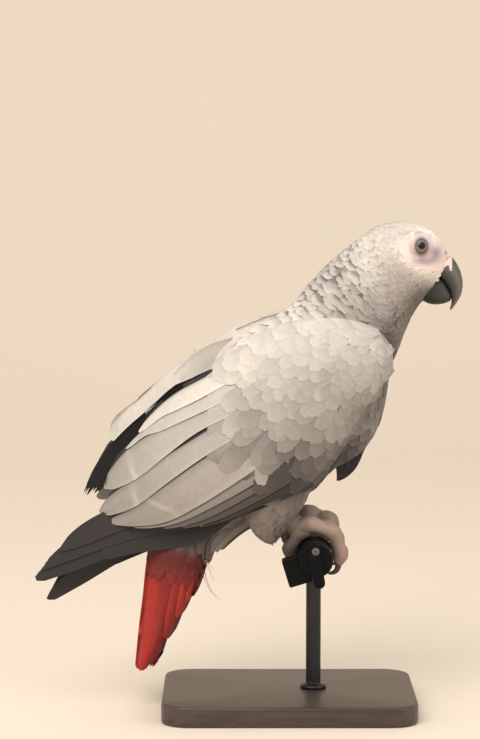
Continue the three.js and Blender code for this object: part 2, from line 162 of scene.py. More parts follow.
def through(values, t):
    """Values read along a smooth curve through evenly numbered stations."""
    values = np.asarray(values, float)
    values = values.reshape(len(values), -1)
    x = np.clip(np.asarray(t, float), 0, 1) * (len(values) - 1)
    i = np.minimum(x.astype(int), len(values) - 2)
    f = (x - i)[..., None]
    pad = np.vstack([2 * values[0] - values[1], values, 2 * values[-1] - values[-2]])
    a, b, c, d = (pad[i + k] for k in range(4))
    return 0.5 * (2 * b + (c - a) * f + (2 * a - 5 * b + 4 * c - d) * f**2
                  + (3 * b - a - 3 * c + d) * f**3)


def path_length(points):
    return np.linalg.norm(np.diff(points, axis=0), axis=1).sum()


def level_at(levels, t):
    """A single value read along a smooth curve through evenly numbered stations."""
    return through(levels, t)[..., 0]


def blurred(grid, sigma, axis, closed=False):
    """The grid smoothed along one axis by a bell curve."""
    reach = int(3 * sigma + 1)
    weights = np.exp(-0.5 * (np.arange(-reach, reach + 1) / sigma) ** 2)
    weights /= weights.sum()
    pad = [(0, 0)] * grid.ndim
    pad[axis] = (reach, reach)
    ends = {"mode": "wrap"} if closed else {"mode": "reflect", "reflect_type": "odd"}
    wide = np.pad(grid, pad, **ends)
    out = np.zeros_like(grid)
    for k, w in enumerate(weights):
        part = [slice(None)] * grid.ndim
        part[axis] = slice(k, k + grid.shape[axis])
        out += w * wide[tuple(part)]
    return out


def tree_of(*names):
    """A search tree over frame nodes, in millimetres."""
    points, faces = [], []
    for name in names:
        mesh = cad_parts[name].data
        start = len(points)
        points += [tuple(v.co / MM) for v in mesh.vertices]
        faces += [tuple(start + i for i in p.vertices) for p in mesh.polygons]
    return BVHTree.FromPolygons(points, faces)


def from_side(tree, side, x, z, reach=2 * FAR_OUT):
    """Where a level line from one side of the bird first meets a tree, or None."""
    return tree.ray_cast(Vector((x, side * FAR_OUT, z)), Vector((0, -side, 0)), reach)[0]


class Surface:
    """A grid of points with its lie (rows), girth (columns) and outward normals."""

    def __init__(self, points, closed, outward=None):
        self.points, self.closed = points, closed
        rows, cols = points.shape[:2]
        self.along = np.gradient(points, axis=0) * (rows - 1)
        if closed:
            self.across = (np.roll(points, -1, 1) - np.roll(points, 1, 1)) * cols / 2
        else:
            self.across = np.gradient(points, axis=1) * (cols - 1)
        normal = unit(np.cross(self.along, self.across))
        away = points - points.mean(1, keepdims=True) if outward is None else np.array(outward)
        self.normal = normal * np.sign((normal * away).sum())

    def read(self, field, u, v):
        rows, cols = field.shape[:2]
        x = np.clip(u, 0, 1) * (rows - 1)
        i = np.minimum(x.astype(int), rows - 2)
        fx = (x - i)[..., None]
        if self.closed:
            y = np.mod(v, 1) * cols
            j = y.astype(int) % cols
            k = (j + 1) % cols
            fy = (y - np.floor(y))[..., None]
        else:
            y = np.clip(v, 0, 1) * (cols - 1)
            j = np.minimum(y.astype(int), cols - 2)
            k = j + 1
            fy = (y - j)[..., None]
        top = field[i, j] * (1 - fy) + field[i, k] * fy
        low = field[i + 1, j] * (1 - fy) + field[i + 1, k] * fy
        return top * (1 - fx) + low * fx

    def at(self, u, v):
        """Points on the surface, carried straight on past its ends."""
        p = self.read(self.points, u, v)
        over = u - np.clip(u, 0, 1)
        if np.any(over):
            p = p + self.read(self.along, u, v) * over[..., None]
        side = 0 * v if self.closed else v - np.clip(v, 0, 1)
        if np.any(side):
            p = p + self.read(self.across, u, v) * side[..., None]
        return p

    def step(self, u, v):
        """How many millimetres down the surface one unit of u is."""
        return np.linalg.norm(self.read(self.along, u, v), axis=1)

    def tree(self):
        """A search tree over the surface."""
        faces = grid_faces(*self.points.shape[:2], self.closed)
        return BVHTree.FromPolygons(self.points.reshape(-1, 3).tolist(), faces.tolist())


# ---- meshes ----------------------------------------------------------------------------
def put_marks(mesh, name, values):
    """Gives each point of a mesh its own value: three numbers, or a colour of four."""
    kind, field = ("COLOR", "color") if values.shape[1] == 4 else ("VECTOR", "vector")
    layer = mesh.attributes.new(name, "FLOAT_" + kind, "POINT")
    layer.data.foreach_set(field, values.astype(np.float32).ravel())


def shade(mesh, soft):
    """Shades all faces of a mesh soft or flat."""
    mesh.polygons.foreach_set("use_smooth", [soft] * len(mesh.polygons))


def new_piece(name, points, faces, material, marks=None, uv=None):
    """A mesh object from points in millimetres and faces of equal or mixed length."""
    mesh = bpy.data.meshes.new(name)
    if isinstance(faces, np.ndarray):
        mesh.vertices.add(len(points))
        mesh.vertices.foreach_set("co", (points * MM).astype(np.float32).ravel())
        mesh.loops.add(faces.size)
        mesh.loops.foreach_set("vertex_index", faces.astype(np.int32).ravel())
        mesh.polygons.add(len(faces))
        mesh.polygons.foreach_set(
            "loop_start", np.arange(0, faces.size, faces.shape[1], dtype=np.int32))
        mesh.update(calc_edges=True)
    else:
        mesh.from_pydata((points * MM).tolist(), [], faces)
    shade(mesh, True)
    for label, values in (marks or {}).items():
        put_marks(mesh, label, values)
    if uv is not None:
        layer = mesh.uv_layers.new(name="OFBake")
        order = np.zeros(len(mesh.loops), np.int32)
        mesh.loops.foreach_get("vertex_index", order)
        layer.data.foreach_set("uv", uv.astype(np.float32)[order].ravel())
    mesh.update()
    mesh.validate()
    piece = bpy.data.objects.new(name, mesh)
    bpy.context.scene.collection.objects.link(piece)
    mesh.materials.append(material)
    return piece


def fit_out(piece, slot, *nodes):
    """Puts a piece on the bird's body and hides the frame nodes that it stands for; its slot is
    not used.
    """
    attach(piece, "root")
    if nodes:
        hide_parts(*nodes)
    return piece


def rgba(colours):
    """Colours as rows of four, kept in range and opaque."""
    colours = np.asarray(colours).reshape(-1, 3)
    return np.hstack([np.clip(colours, 0, 1), np.ones((len(colours), 1))])


def grid_faces(rows, cols, closed, looped=False):
    """Quads over a grid of points, closed round the columns or open, and the same for rows."""
    i, j = np.meshgrid(np.arange(rows - (not looped)), np.arange(cols - (not closed)),
                       indexing="ij")
    below, beside = (i + 1) % rows, (j + 1) % cols
    return np.stack([i * cols + j, below * cols + j, below * cols + beside, i * cols + beside],
                    -1).reshape(-1, 4)


def capped(rings):
    """Points and mixed faces of a closed tube through rings of points."""
    rows, cols = rings.shape[:2]
    faces = [tuple(f) for f in grid_faces(rows, cols, True)]
    first, last = rows * cols, rows * cols + 1
    for j in range(cols):
        k = (j + 1) % cols
        faces.append((first, j, k))
        faces.append((last, (rows - 1) * cols + k, (rows - 1) * cols + j))
    return np.vstack([rings.reshape(-1, 3), rings[0].mean(0), rings[-1].mean(0)]), faces


def outward_normals(piece):
    """Turns every face of a closed piece outward."""
    bm = bmesh.new()
    bm.from_mesh(piece.data)
    bmesh.ops.recalc_face_normals(bm, faces=bm.faces)
    bm.to_mesh(piece.data)
    bm.free()
    return piece


def closed_piece(name, rings, material, marks=None):
    """A closed tube through rings of points, with its faces outward."""
    return outward_normals(new_piece(name, *capped(rings), material, marks))


def loft(stations, steps, count, half_y=0, grow=0, power=2.0, tops=(0, 1)):
    """Rings through stations of back x, z, front x, z and half width."""
    s = through(stations, np.linspace(tops[0], tops[1], steps + 1))
    back, front, half = s[:, 0:2], s[:, 2:4], s[:, 4] + grow
    centre, axis = (back + front) / 2, unit(back - front)
    depth = np.linalg.norm(back - front, axis=1) / 2 + grow
    angle = circle(count)
    bow = lambda v: np.sign(v) * np.abs(v) ** (2 / power)
    ring = centre[:, None, :] + axis[:, None, :] * (depth[:, None] * bow(np.cos(angle)))[..., None]
    y = half_y + half[:, None] * bow(np.sin(angle))
    return np.stack([ring[..., 0], y, ring[..., 1]], -1)


def turned(points, pivot, degrees, back=0):
    """x, z points turned up about a pivot and moved back."""
    a = math.radians(-degrees)
    d = np.asarray(points, float) - pivot
    x = pivot[0] + d[..., 0] * math.cos(a) - d[..., 1] * math.sin(a) - back
    z = pivot[1] + d[..., 0] * math.sin(a) + d[..., 1] * math.cos(a)
    return np.stack([x, z], -1)


# ---- the surfaces that the coat lies on ------------------------------------------------
RINGS, SPOKES = 341, 160


def beside_coat(hit):
    """True where a line met the eye or the bill instead of the feathered head."""
    x, y, z = hit
    eye_gap = min(np.linalg.norm(hit - EYE * (1, side, 1)) for side in SIDES.values())
    return eye_gap < EYE_RADIUS + 1.2 or (x > 81 and z < 266 and abs(y) < 7.6 and x + z > 335)


@cache
def body_surface():
    """The outline of head, neck and trunk, cast from the frame in rings down the spine."""
    tree = tree_of("head", "cere", "neck", "trunk")
    s = through(SPINE, np.linspace(0, 1, RINGS))
    tilt = np.radians(s[:, 2])
    centres = np.stack([s[:, 0], 0 * tilt, s[:, 1]], -1)
    back = np.stack([np.cos(tilt), 0 * tilt, np.sin(tilt)], -1)
    angle = circle(SPOKES)
    side = np.array([0, -1.0, 0])
    spokes = back[:, None] * np.cos(angle)[:, None] + side * np.sin(angle)[:, None]
    reach = np.full((RINGS, SPOKES), np.nan)
    for i in range(0, RINGS, 2):
        start = np.interp(i / (RINGS - 1) * LAST, [0, 1, 2, 3, 5, 8, LAST],
                          [20, 24, 31, 36, 43, 48, 58])
        for j in range(0, SPOKES, 2):
            outer = centres[i] + spokes[i, j] * start
            hit = tree.ray_cast(Vector(outer), Vector(-spokes[i, j]), start)[0]
            if hit is not None and not beside_coat(np.array(hit)):
                reach[i, j] = np.linalg.norm(np.array(hit) - centres[i])
    coarse = reach[::2, ::2]
    known = ~np.isnan(coarse)
    filled = np.where(known, coarse, np.nanmean(coarse))
    for _ in range(400):
        soft = blurred(blurred(filled, 1, 0), 1, 1, True)
        filled = np.where(known, coarse, soft)
    filled = blurred(blurred(filled, 3.0, 0), 2.6, 1, True)
    rows = np.repeat(filled, 2, 0)[:RINGS].copy()
    rows[1::2] = (filled[:-1] + filled[1:]) / 2
    reach = np.repeat(rows, 2, 1)
    reach[:, 1::2] = (rows + np.roll(rows, -1, 1)) / 2
    reach = blurred(reach, 1.5, 1, True)
    ring = np.linspace(0, LAST, RINGS)[:, None]
    front = bell(angle - math.pi, 0.7)
    reach = reach - 5.0 * bell(ring - 12.95, 0.85) * front  # a hollow before the legs
    return Surface(centres[:, None] + spokes * reach[..., None], True)


@cache
def wing_surface(name):
    """The outer face of a folded wing, rounded in towards the body at its edges."""
    side = SIDES[name]
    tree = tree_of(f"wing_{name}")
    steps, count = 121, 61
    ribs = through(WING_RIBS, np.linspace(0, 1, steps))
    degrees, back = WING_POSE[name]
    upper = turned(ribs[:, 0:2], WING_PIVOT, degrees, back)
    lower = turned(ribs[:, 2:4], WING_PIVOT, degrees, back)
    v = np.linspace(0, 1, count)
    flat = upper[:, None] + (lower - upper)[:, None] * v[:, None]
    y = np.full((steps, count), np.nan)
    for i in range(steps):
        for j in range(count):
            x, z = flat[i, j]
            hit = from_side(tree, side, x, z, FAR_OUT)
            if hit is not None:
                y[i, j] = hit[1] * side
    known = ~np.isnan(y)
    filled, rows = y.copy(), np.flatnonzero(known.any(1))
    for i in rows:
        filled[i] = np.interp(v, v[known[i]], y[i, known[i]])
    for i in np.flatnonzero(~known.any(1)):
        filled[i] = filled[rows[np.abs(rows - i).argmin()]]
    for _ in range(60):
        filled = np.where(known, y, blurred(blurred(filled, 1, 0), 1, 1))
    filled = blurred(blurred(filled, 2.5, 0), 2.5, 1)
    chord = np.linalg.norm(lower - upper, axis=1)
    edge = np.minimum(v[None] * chord[:, None], (1 - v[None]) * chord[:, None])
    turn = np.minimum(ribs[:, 4], 9)[:, None]
    rim = np.clip(1 - edge / np.maximum(turn, 1e-3), 0, 1)
    drop = turn * (1 - np.sqrt(1 - rim**2)) * 0.9
    points = np.stack([flat[..., 0], side * (filled - drop), flat[..., 1]], -1)
    return Surface(points, False, outward=(0.0, side, 0.0))


@cache
def wing_tree(name):
    """A search tree over the wing's outer face."""
    return wing_surface(name).tree()


RIM_OVERHANG = 2.6  # how far a feather may hang over a lower rim


def dropped_on(tree, side, flat):
    """x, z points dropped sideways onto a tree. Those that miss it go to its nearest rim, and
    hang a little over a lower one."""
    out = np.empty(flat.shape[:-1] + (3,))
    for index in np.ndindex(flat.shape[:-1]):
        x, z = flat[index]
        hit = from_side(tree, side, x, z)
        if hit is None:
            hit = Vector((x, side * 20, z))
            for _ in range(3):
                hit = tree.find_nearest(Vector((x, hit[1], z)))[0]
            if z < hit[2]:
                past = Vector((x - hit[0], 0, z - hit[2]))
                hit = hit + past * min(1, RIM_OVERHANG / max(past.length, 1e-6))
        out[index] = hit
    return out


def drape_on(tree, side, flat):
    """Distances from the mid plane of x, z points dropped sideways onto a tree."""
    return dropped_on(tree, side, flat)[..., 1] * side


@cache
def thigh_surface(name):
    """The feathered thigh of one side."""
    return Surface(loft(THIGH, 80, 72, SIDES[name] * THIGH_Y), True)


# ---- plumage markings ------------------------------------------------------------------
TONES = [(0.0, (20, 17, 17)), (0.2, (51, 45, 43)), (0.4, (103, 95, 89)), (0.6, (158, 149, 140)),
         (0.75, (197, 188, 176)), (0.88, (231, 218, 206)), (1.0, (253, 240, 228))]
TONE_STOPS = np.array([t for t, _ in TONES])
TONE_COLOURS = np.array([srgb(*c) for _, c in TONES])


def plumage(tone):
    """The warm grey of a feather at a tone from 0, black, to 1, white."""
    tone = np.clip(tone, 0, 1)
    return np.stack([np.interp(tone, TONE_STOPS, TONE_COLOURS[:, k]) for k in range(3)], -1)


# Tone down the body at the back, the side and the front, by ring of the spine. The front tones are
# darker partly as painted shade on the underside.
BACK_TONE = [0.96, 0.96, 0.93, 0.84, 0.79, 0.79, 0.77, 0.70, 0.70, 0.80, 0.86, 0.88,
             0.89, 0.90, 0.88, 0.86, 0.80, 0.70]
SIDE_TONE = [0.86, 0.82, 0.75, 0.70, 0.64, 0.60, 0.57, 0.54, 0.55, 0.57, 0.60, 0.59,
             0.62, 0.58, 0.48, 0.44, 0.46, 0.47]
FRONT_TONE_AND_SHADE = [0.34, 0.32, 0.30, 0.34, 0.40, 0.42, 0.33, 0.22, 0.22, 0.31, 0.42, 0.36,
              0.18, 0.15, 0.24, 0.35, 0.39, 0.40]


def backness(v):
    """1 at the back of a ring, 0 at its sides and -1 at its front."""
    return np.cos(math.tau * v)


def body_tone_and_shade(u, v):
    """The plumage tone at a place on the body surface, darker at the front partly as painted
    shade.
    """
    back, side, front = (level_at(tones, u) for tones in (BACK_TONE, SIDE_TONE, FRONT_TONE_AND_SHADE))
    turn = backness(v)
    upper = smooth(turn, -0.15, 0.95)
    lower = smooth(-turn, 0.05, 0.95)
    return side + (back - side) * upper + (front - side) * lower


# Border of the naked face in the side view, as x, z.
FACE = np.array([
    (63.8, 279.0), (66.6, 282.4), (71.4, 285.0), (77.4, 287.0), (82.2, 287.4), (86.4, 285.8),
    (90, 283.4), (93, 281), (104, 276), (104, 262), (94.2, 262.6), (91, 264.4), (87, 265.2),
    (82.2, 265.6), (77.4, 267.0), (72.6, 269.4), (69, 272.2), (65.4, 275.6)])


def face_gap(points):
    """Signed distance from the border of the naked face, below 0 inside it."""
    flat = np.stack([points[..., 0], points[..., 2]], -1)[..., None, :]
    a, b = FACE, np.roll(FACE, -1, 0)
    share = np.clip(((flat - a) * (b - a)).sum(-1) / ((b - a) ** 2).sum(-1), 0, 1)
    gap = np.linalg.norm(flat - a - share[..., None] * (b - a), axis=-1).min(-1)
    x, z = flat[..., 0], flat[..., 1]
    crosses = (a[:, 1] > z) != (b[:, 1] > z)
    rise = np.where(b[:, 1] == a[:, 1], 1e-9, b[:, 1] - a[:, 1])
    where = a[:, 0] + (z - a[:, 1]) * (b[:, 0] - a[:, 0]) / rise
    inside = (crosses & (x < where)).sum(-1) % 2 == 1
    return np.where(inside, -gap, gap)


BROW = np.array([(62.5, 286.6), (68, 287.8), (73, 289.0), (77.5, 289.6), (81.5, 289.2)])


def brow_shadow(points):
    """1 along the soft crease above each eye, where a shadow is painted."""
    x, z = points[..., 0], points[..., 2]
    gap = z - np.interp(x, BROW[:, 0], BROW[:, 1])
    ends = smooth(x, 60.5, 64) * (1 - smooth(x, 80, 84))
    return bell(gap, 0.8) * ends * (np.abs(points[..., 1]) > 6)


def bare_face(points):
    """1 on the naked skin round the eye and up to the bill, 0 in the plumage."""
    return 1 - smooth(face_gap(points), -0.3, 1.5)


# ---- sizes and colours -----------------------------------------------------------------
def length(name, text, default):
    return FloatProperty(name=name, description=text, default=default * MM, min=0.0,
                         subtype="DISTANCE", unit="LENGTH", precision=4)


def colour(name, text, *value):
    return FloatVectorProperty(name=name, description=text, default=srgb(*value), size=3,
                               min=0.0, max=1.0, subtype="COLOR")


class ParrotSizes(bpy.types.PropertyGroup):
    crown_row: length("Crown rows", "Distance between rows of crown feathers", 1.7)
    nape_row: length("Nape rows", "Distance between rows of nape feathers", 3.6)
    body_row: length("Body rows", "Distance between rows of body feathers", 6.6)
    thigh_row: length("Thigh rows", "Distance between rows of thigh feathers", 3.6)
    covert_small: length("Lesser coverts", "Spacing of the smallest wing coverts", 3.4)
    covert_large: length("Greater coverts", "Spacing of the largest wing coverts", 9.0)
    lid_opening: length("Eye opening", "Half the width between the lids", 3.6)
    pupil: length("Pupil", "Radius of the pupil", 1.95)


class ParrotColours(bpy.types.PropertyGroup):
    face: colour("Face skin", "Naked skin of the face", 234, 213, 200)
    lores: colour("Lores", "Mauve skin in front of the eye", 158, 137, 139)
    lid: colour("Eyelid", "Edge of the eyelids", 112, 97, 92)
    foot: colour("Foot skin", "Skin of legs and toes", 148, 127, 112)
    # Toe skin is the foot skin darkened low on the toes as painted shade.
    foot_shade: colour("Toe skin", "Skin low on the toes", 102, 84, 74)
    toe_tip: colour("Toe ends", "Rosy skin of the toes in front of the bar", 190, 152, 138)
    bill: colour("Bill", "Horn of the bill", 50, 48, 46)
    # The pale bill colour is painted highlight along the ridge and sides, and wear at the tip.
    bill_sheen_and_wear: colour("Worn bill", "Pale worn horn along the bill's ridge", 108, 101, 94)
    claw: colour("Claw", "Horn of the claws", 60, 53, 49)
    iris: colour("Iris", "Pale ring of the eye", 122, 109, 102)
    iris_dark: colour("Inner iris", "Iris next to the pupil", 70, 60, 54)
    red: colour("Tail red", "Red of the tail feathers", 166, 36, 24)
    # Deep tail red is the red darkened partly as painted shade, on the inner vanes, at the roots
    # and on the coverts near the body.
    red_dark: colour("Deep tail red", "Shaded red of the inner vanes", 70, 22, 17)
    red_pale: colour("Tail bloom", "Worn pale red of edges and coverts", 196, 82, 62)
    perch: colour("Perch coating", "Black coating of the bar", 6, 6, 7)
    metal: colour("Stand rod", "Dark metal of the stand rod", 52, 51, 52)
    wood: colour("Base wood", "Dark wood of the base", 74, 56, 46)
    backdrop: colour("Backdrop", "Floor and backdrop", 240, 224, 204)


class ParrotStage(bpy.types.PropertyGroup):
    key: FloatProperty(name="Key lamp", description="Power of the large lamp", default=19.0,
                       subtype="POWER", unit="POWER")
    fill: FloatProperty(name="Fill lamp", description="Power of the lamp on the other side",
                        default=6.0, subtype="POWER", unit="POWER")
    sky: FloatProperty(name="Sky", description="Strength of the light all round", default=0.80)
    height: FloatProperty(name="Camera height", description="How far the camera looks down",
                          default=math.radians(5), subtype="ANGLE", unit="ROTATION")
    distance: FloatProperty(name="Camera distance", description="From the middle of the view",
                            default=1.5, subtype="DISTANCE", unit="LENGTH")
    frame_height: FloatProperty(name="View height", description="What the view takes in",
                                default=0.4434, subtype="DISTANCE", unit="LENGTH")
    seed: IntProperty(name="Seed", description="Start of the random variation", default=7)


# ---- materials -------------------------------------------------------------------------
FLOAT, VECTOR, COLOUR = "NodeSocketFloat", "NodeSocketVector", "NodeSocketColor"


class Wire:
    """An output of a shader node. A formula of wires adds the nodes that work it out."""

    def __init__(self, socket):
        self.socket, self.tree = socket, socket.id_data

    def result(self, operation, a, b=0.5):
        return Wire(node(self.tree, "Math", {0: a, 1: b}, operation=operation).outputs[0])

    def __add__(self, other):
        return self.result("ADD", self, other)

    def __sub__(self, other):
        return self.result("SUBTRACT", self, other)

    def __rsub__(self, other):
        return self.result("SUBTRACT", other, self)

    def __mul__(self, other):
        return self.result("MULTIPLY", self, other)

    def __truediv__(self, other):
        return self.result("DIVIDE", self, other)

    def __abs__(self):
        return self.result("ABSOLUTE", self)

    def wave(self):
        """A sine wave with one turn for each unit."""
        return self.result("SINE", self * math.tau)

    def clamped(self):
        """The same value, kept between 0 and 1."""
        self.socket.node.use_clamp = True
        return self


def node(tree, kind, inputs=(), **settings):
    """A shader node with its settings, and its inputs set or fed by wires."""
    made = tree.nodes.new("ShaderNode" + kind)
    for key, value in settings.items():
        setattr(made, key, value)
    for key, value in dict(inputs).items():
        if isinstance(value, Wire):
            tree.links.new(value.socket, made.inputs[key])
        else:
            made.inputs[key].default_value = value
    return made


def wires(sockets):
    """Wires from a node's outputs, by name."""
    return {socket.name: Wire(socket) for socket in sockets}


def mark(tree, name, output="Vector"):
    """A value that the mesh holds at each of its points."""
    return Wire(node(tree, "Attribute", attribute_name=name).outputs[output])


def place_on(tree):
    return Wire(node(tree, "TexCoord").outputs["Object"])


def split(vector):
    return [Wire(part) for part in node(vector.tree, "SeparateXYZ", {0: vector}).outputs]


def merged(x, y, z):
    return Wire(node(x.tree, "CombineXYZ", {0: x, 1: y, 2: z}).outputs[0])


def stretched(place, *scale):
    return Wire(node(place.tree, "Mapping", {"Vector": place, "Scale": scale}).outputs[0])


def noise(place, scale, detail=2.0, **more):
    return Wire(node(place.tree, "TexNoise", {
        "Vector": place, "Scale": scale, "Detail": detail, **more}).outputs[0])


def toned(colour, gain):
    """A colour made lighter or darker by a gain."""
    return Wire(node(colour.tree, "VectorMath", {0: colour, "Scale": gain},
                     operation="SCALE").outputs[0])


def opaque(colour):
    """A colour as a shader node takes it."""
    return colour if isinstance(colour, Wire) else (*colour, 1)


def blend(a, b, share):
    """Colour a turned into colour b by a share."""
    return Wire(node(share.tree, "Mix", {0: share, 6: opaque(a), 7: opaque(b)},
                     data_type="RGBA").outputs[2])


def spread(value, low, high, start=0.0, end=1.0):
    """A value from start to end carried over to low and high."""
    return Wire(node(value.tree, "MapRange", {
        0: value, 1: start, 2: end, 3: low, 4: high}).outputs[0])


def new_group(name, inputs):
    """An empty group of shader nodes with its inputs: socket kind and default by name."""
    group = bpy.data.node_groups.new(name, "ShaderNodeTree")
    for label, (kind, default) in inputs.items():
        socket = group.interface.new_socket(name=label, in_out="INPUT", socket_type=kind)
        if default is not None:
            socket.default_value = default
    return group, wires(group.nodes.new("NodeGroupInput").outputs)


def with_outputs(group, outputs):
    """The group with its outputs: socket kind and wire by name."""
    for label, (kind, _) in outputs.items():
        group.interface.new_socket(name=label, in_out="OUTPUT", socket_type=kind)
    end = group.nodes.new("NodeGroupOutput")
    for label, (_, wire) in outputs.items():
        group.links.new(wire.socket, end.inputs[label])
    return group


@cache
def barb_group():
    """Barbs that run out from the shaft at a slant, with small splits between them."""
    group, given = new_group("Feather barbs", {
        "Vane": (VECTOR, None), "Barb pitch": (FLOAT, 0.5), "Shaft width": (FLOAT, 0.3)})
    across, along, seed = split(given["Vane"])
    side = abs(across)
    slant = along - side * 0.9
    wander = noise(merged(slant * 0.9, side * 0.12, seed * 17.0), 1.3, 3.0)
    ripple = (slant / given["Barb pitch"] + wander * 2.2).wave()
    gaps = ((wander - 0.60) * 9.0).clamped()
    shaft = (1.0 - side / given["Shaft width"]).clamped()
    return with_outputs(group, {
        "Height": (FLOAT, ripple * 0.25 + shaft * 1.2 - gaps * 0.7),
        "Shade": (FLOAT, ripple * 0.02 + 1.0 - gaps * 0.10), "Shaft": (FLOAT, shaft)})


@cache
def mottle_group():
    """Cloudy variation of a colour over the surface."""
    group, given = new_group("Mottle", {
        "Color": (COLOUR, None), "Scale": (FLOAT, 120.0), "Amount": (FLOAT, 0.12)})
    cloud = noise(place_on(group), given["Scale"], 4.0, Roughness=0.6)
    gain = (cloud - 0.5) * (given["Amount"] * 4.0) + 1.0
    return with_outputs(group, {
        "Color": (COLOUR, toned(given["Color"], gain)), "Cloud": (FLOAT, cloud)})


@cache
def skin_group():
    """Fine folds and grains of naked skin or scaly skin, and how dark the creases are."""
    group, given = new_group("Skin grain", {
        "Grain scale": (FLOAT, 900.0), "Fold scale": (FLOAT, 260.0), "Grain": (FLOAT, 1.0),
        "Folds": (FLOAT, 0.5)})
    place = place_on(group)
    cells = node(group, "TexVoronoi", {
        "Vector": place, "Scale": given["Grain scale"], "Randomness": 0.9},
        feature="DISTANCE_TO_EDGE")
    edge = (Wire(cells.outputs[0]) * 5.0).clamped()
    folds = noise(place, given["Fold scale"], 5.0, Distortion=0.6)
    return with_outputs(group, {
        "Height": (FLOAT, edge * given["Grain"] + folds * given["Folds"]),
        "Crease": (FLOAT, 1.0 - edge)})


def grouped(tree, group, inputs):
    """The outputs of a node group with these inputs, by name."""
    return wires(node(tree, "Group", inputs, node_tree=group).outputs)


def mottled(tree, colour, scale, amount):
    """A colour with cloudy variation, and the clouds themselves."""
    fields = grouped(tree, mottle_group(), {
        "Color": opaque(colour), "Scale": scale, "Amount": amount})
    return fields["Color"], fields["Cloud"]


def new_material(name):
    """An empty material and its node tree."""
    material = bpy.data.materials.new(name)
    material.use_nodes = True
    material.node_tree.nodes.clear()
    return material, material.node_tree


def finished(material, base, rough, levels, height=None, depth=0.0, strength=1.0):
    """The material with its colour, roughness, plain levels and relief in millimetres."""
    tree = material.node_tree
    surface = node(tree, "BsdfPrincipled", {"Base Color": base, "Roughness": rough, **levels})
    if height is not None:
        relief = node(tree, "Bump", {
            "Height": height, "Distance": depth * MM, "Strength": strength})
        tree.links.new(relief.outputs[0], surface.inputs["Normal"])
    end = node(tree, "OutputMaterial", {"Surface": Wire(surface.outputs[0])})
    end.is_active_output = True
    return material


def feather_material(name, pitch, shaft, relief, rough, sheen, pale_shaft=0.0):
    """Feather vanes: their own markings, cloudy wear, barbs and shaft."""
    material, tree = new_material(name)
    barbs = grouped(tree, barb_group(), {
        "Vane": mark(tree, "Vane"), "Barb pitch": pitch, "Shaft width": shaft})
    worn, cloud = mottled(tree, mark(tree, "Tint", "Color"), 240.0, 0.07)
    base = toned(worn, barbs["Shade"])
    if pale_shaft:
        base = blend(base, toned(base, 1.0 + pale_shaft), barbs["Shaft"] * 0.8)
    levels = {"Specular IOR Level": 0.32, "Sheen Weight": sheen, "Sheen Roughness": 0.6}
    return finished(material, base, spread(cloud, rough - 0.08, rough + 0.1), levels,
                    barbs["Height"], relief)


def skin_material(name, grain, fold, depth, rough, crease_tone, grain_share=1.0, fold_share=0.5):
    """Naked or scaly skin with darker creases."""
    material, tree = new_material(name)
    relief = grouped(tree, skin_group(), {
        "Grain scale": grain, "Fold scale": fold, "Grain": grain_share, "Folds": fold_share})
    worn, cloud = mottled(tree, mark(tree, "Tint", "Color"), 160.0, 0.08)
    base = blend(worn, toned(worn, crease_tone), relief["Crease"])
    return finished(material, base, spread(cloud, rough - 0.1, rough + 0.12),
                    {"Specular IOR Level": 0.35}, relief["Height"], depth)


def horn_material(name, dark, sheen_and_wear_colour, rough, pale=None):
    """Horn in fine growth layers, paler by its wear mark, which holds real wear and, on the bill,
    painted highlights. A mark above 1.2 turns the horn into the pale skin of the cere."""
    material, tree = new_material(name)
    along, around, wear_and_sheen = split(mark(tree, "Horn"))
    layers = noise(merged(along * 1.6, around * 9.0, 0.0), 2.0, 6.0, Roughness=0.62)
    scuffs = noise(place_on(tree), 900.0, 3.0)
    horn, _ = mottled(tree, dark, 420.0, 0.22)
    base = blend(horn, sheen_and_wear_colour, (wear_and_sheen * (layers + 0.45)).clamped())
    if pale:
        base = blend(base, pale, ((wear_and_sheen - 1.2) * 1.6).clamped())
    return finished(material, base, spread(scuffs, rough - 0.08, rough + 0.18), {},
                    layers + scuffs * 0.3, 0.16, 0.8)


def coated_metal(name, tint, rough, metallic):
    """Powder-coated or brushed metal with handling marks."""
    material, tree = new_material(name)
    place = place_on(tree)
    coat, _ = mottled(tree, tint, 90.0, 0.2)
    smears = spread(noise(place, 60.0, 5.0), rough - 0.1, rough + 0.16, 0.3, 0.7)
    levels = {"Metallic": metallic, "Specular IOR Level": 0.5 if metallic else 0.12}
    return finished(material, coat, smears, levels, noise(place, 1400.0, 3.0), 0.05, 0.7)


def wood_material(name, tint):
    """Dark stained wood with long grain and a satin coat."""
    material, tree = new_material(name)
    place = place_on(tree)
    grain = noise(stretched(place, 18.0, 160.0, 160.0), 1.0, 7.0, Distortion=0.8)
    pores = noise(stretched(place, 90.0, 1500.0, 1500.0), 1.0)
    pit = ((0.46 - pores) * 5.0).clamped()
    darker, darkest = (tuple(c * share for c in tint) for share in (0.42, 0.25))
    base = blend(darker, tint, spread(grain, 0.0, 1.0, 0.32, 0.68))
    base = blend(base, darkest, pit)
    return finished(material, base, spread(grain, 0.38, 0.55),
                    {"Coat Weight": 0.25, "Coat Roughness": 0.25}, grain - pit * 0.6, 0.08)


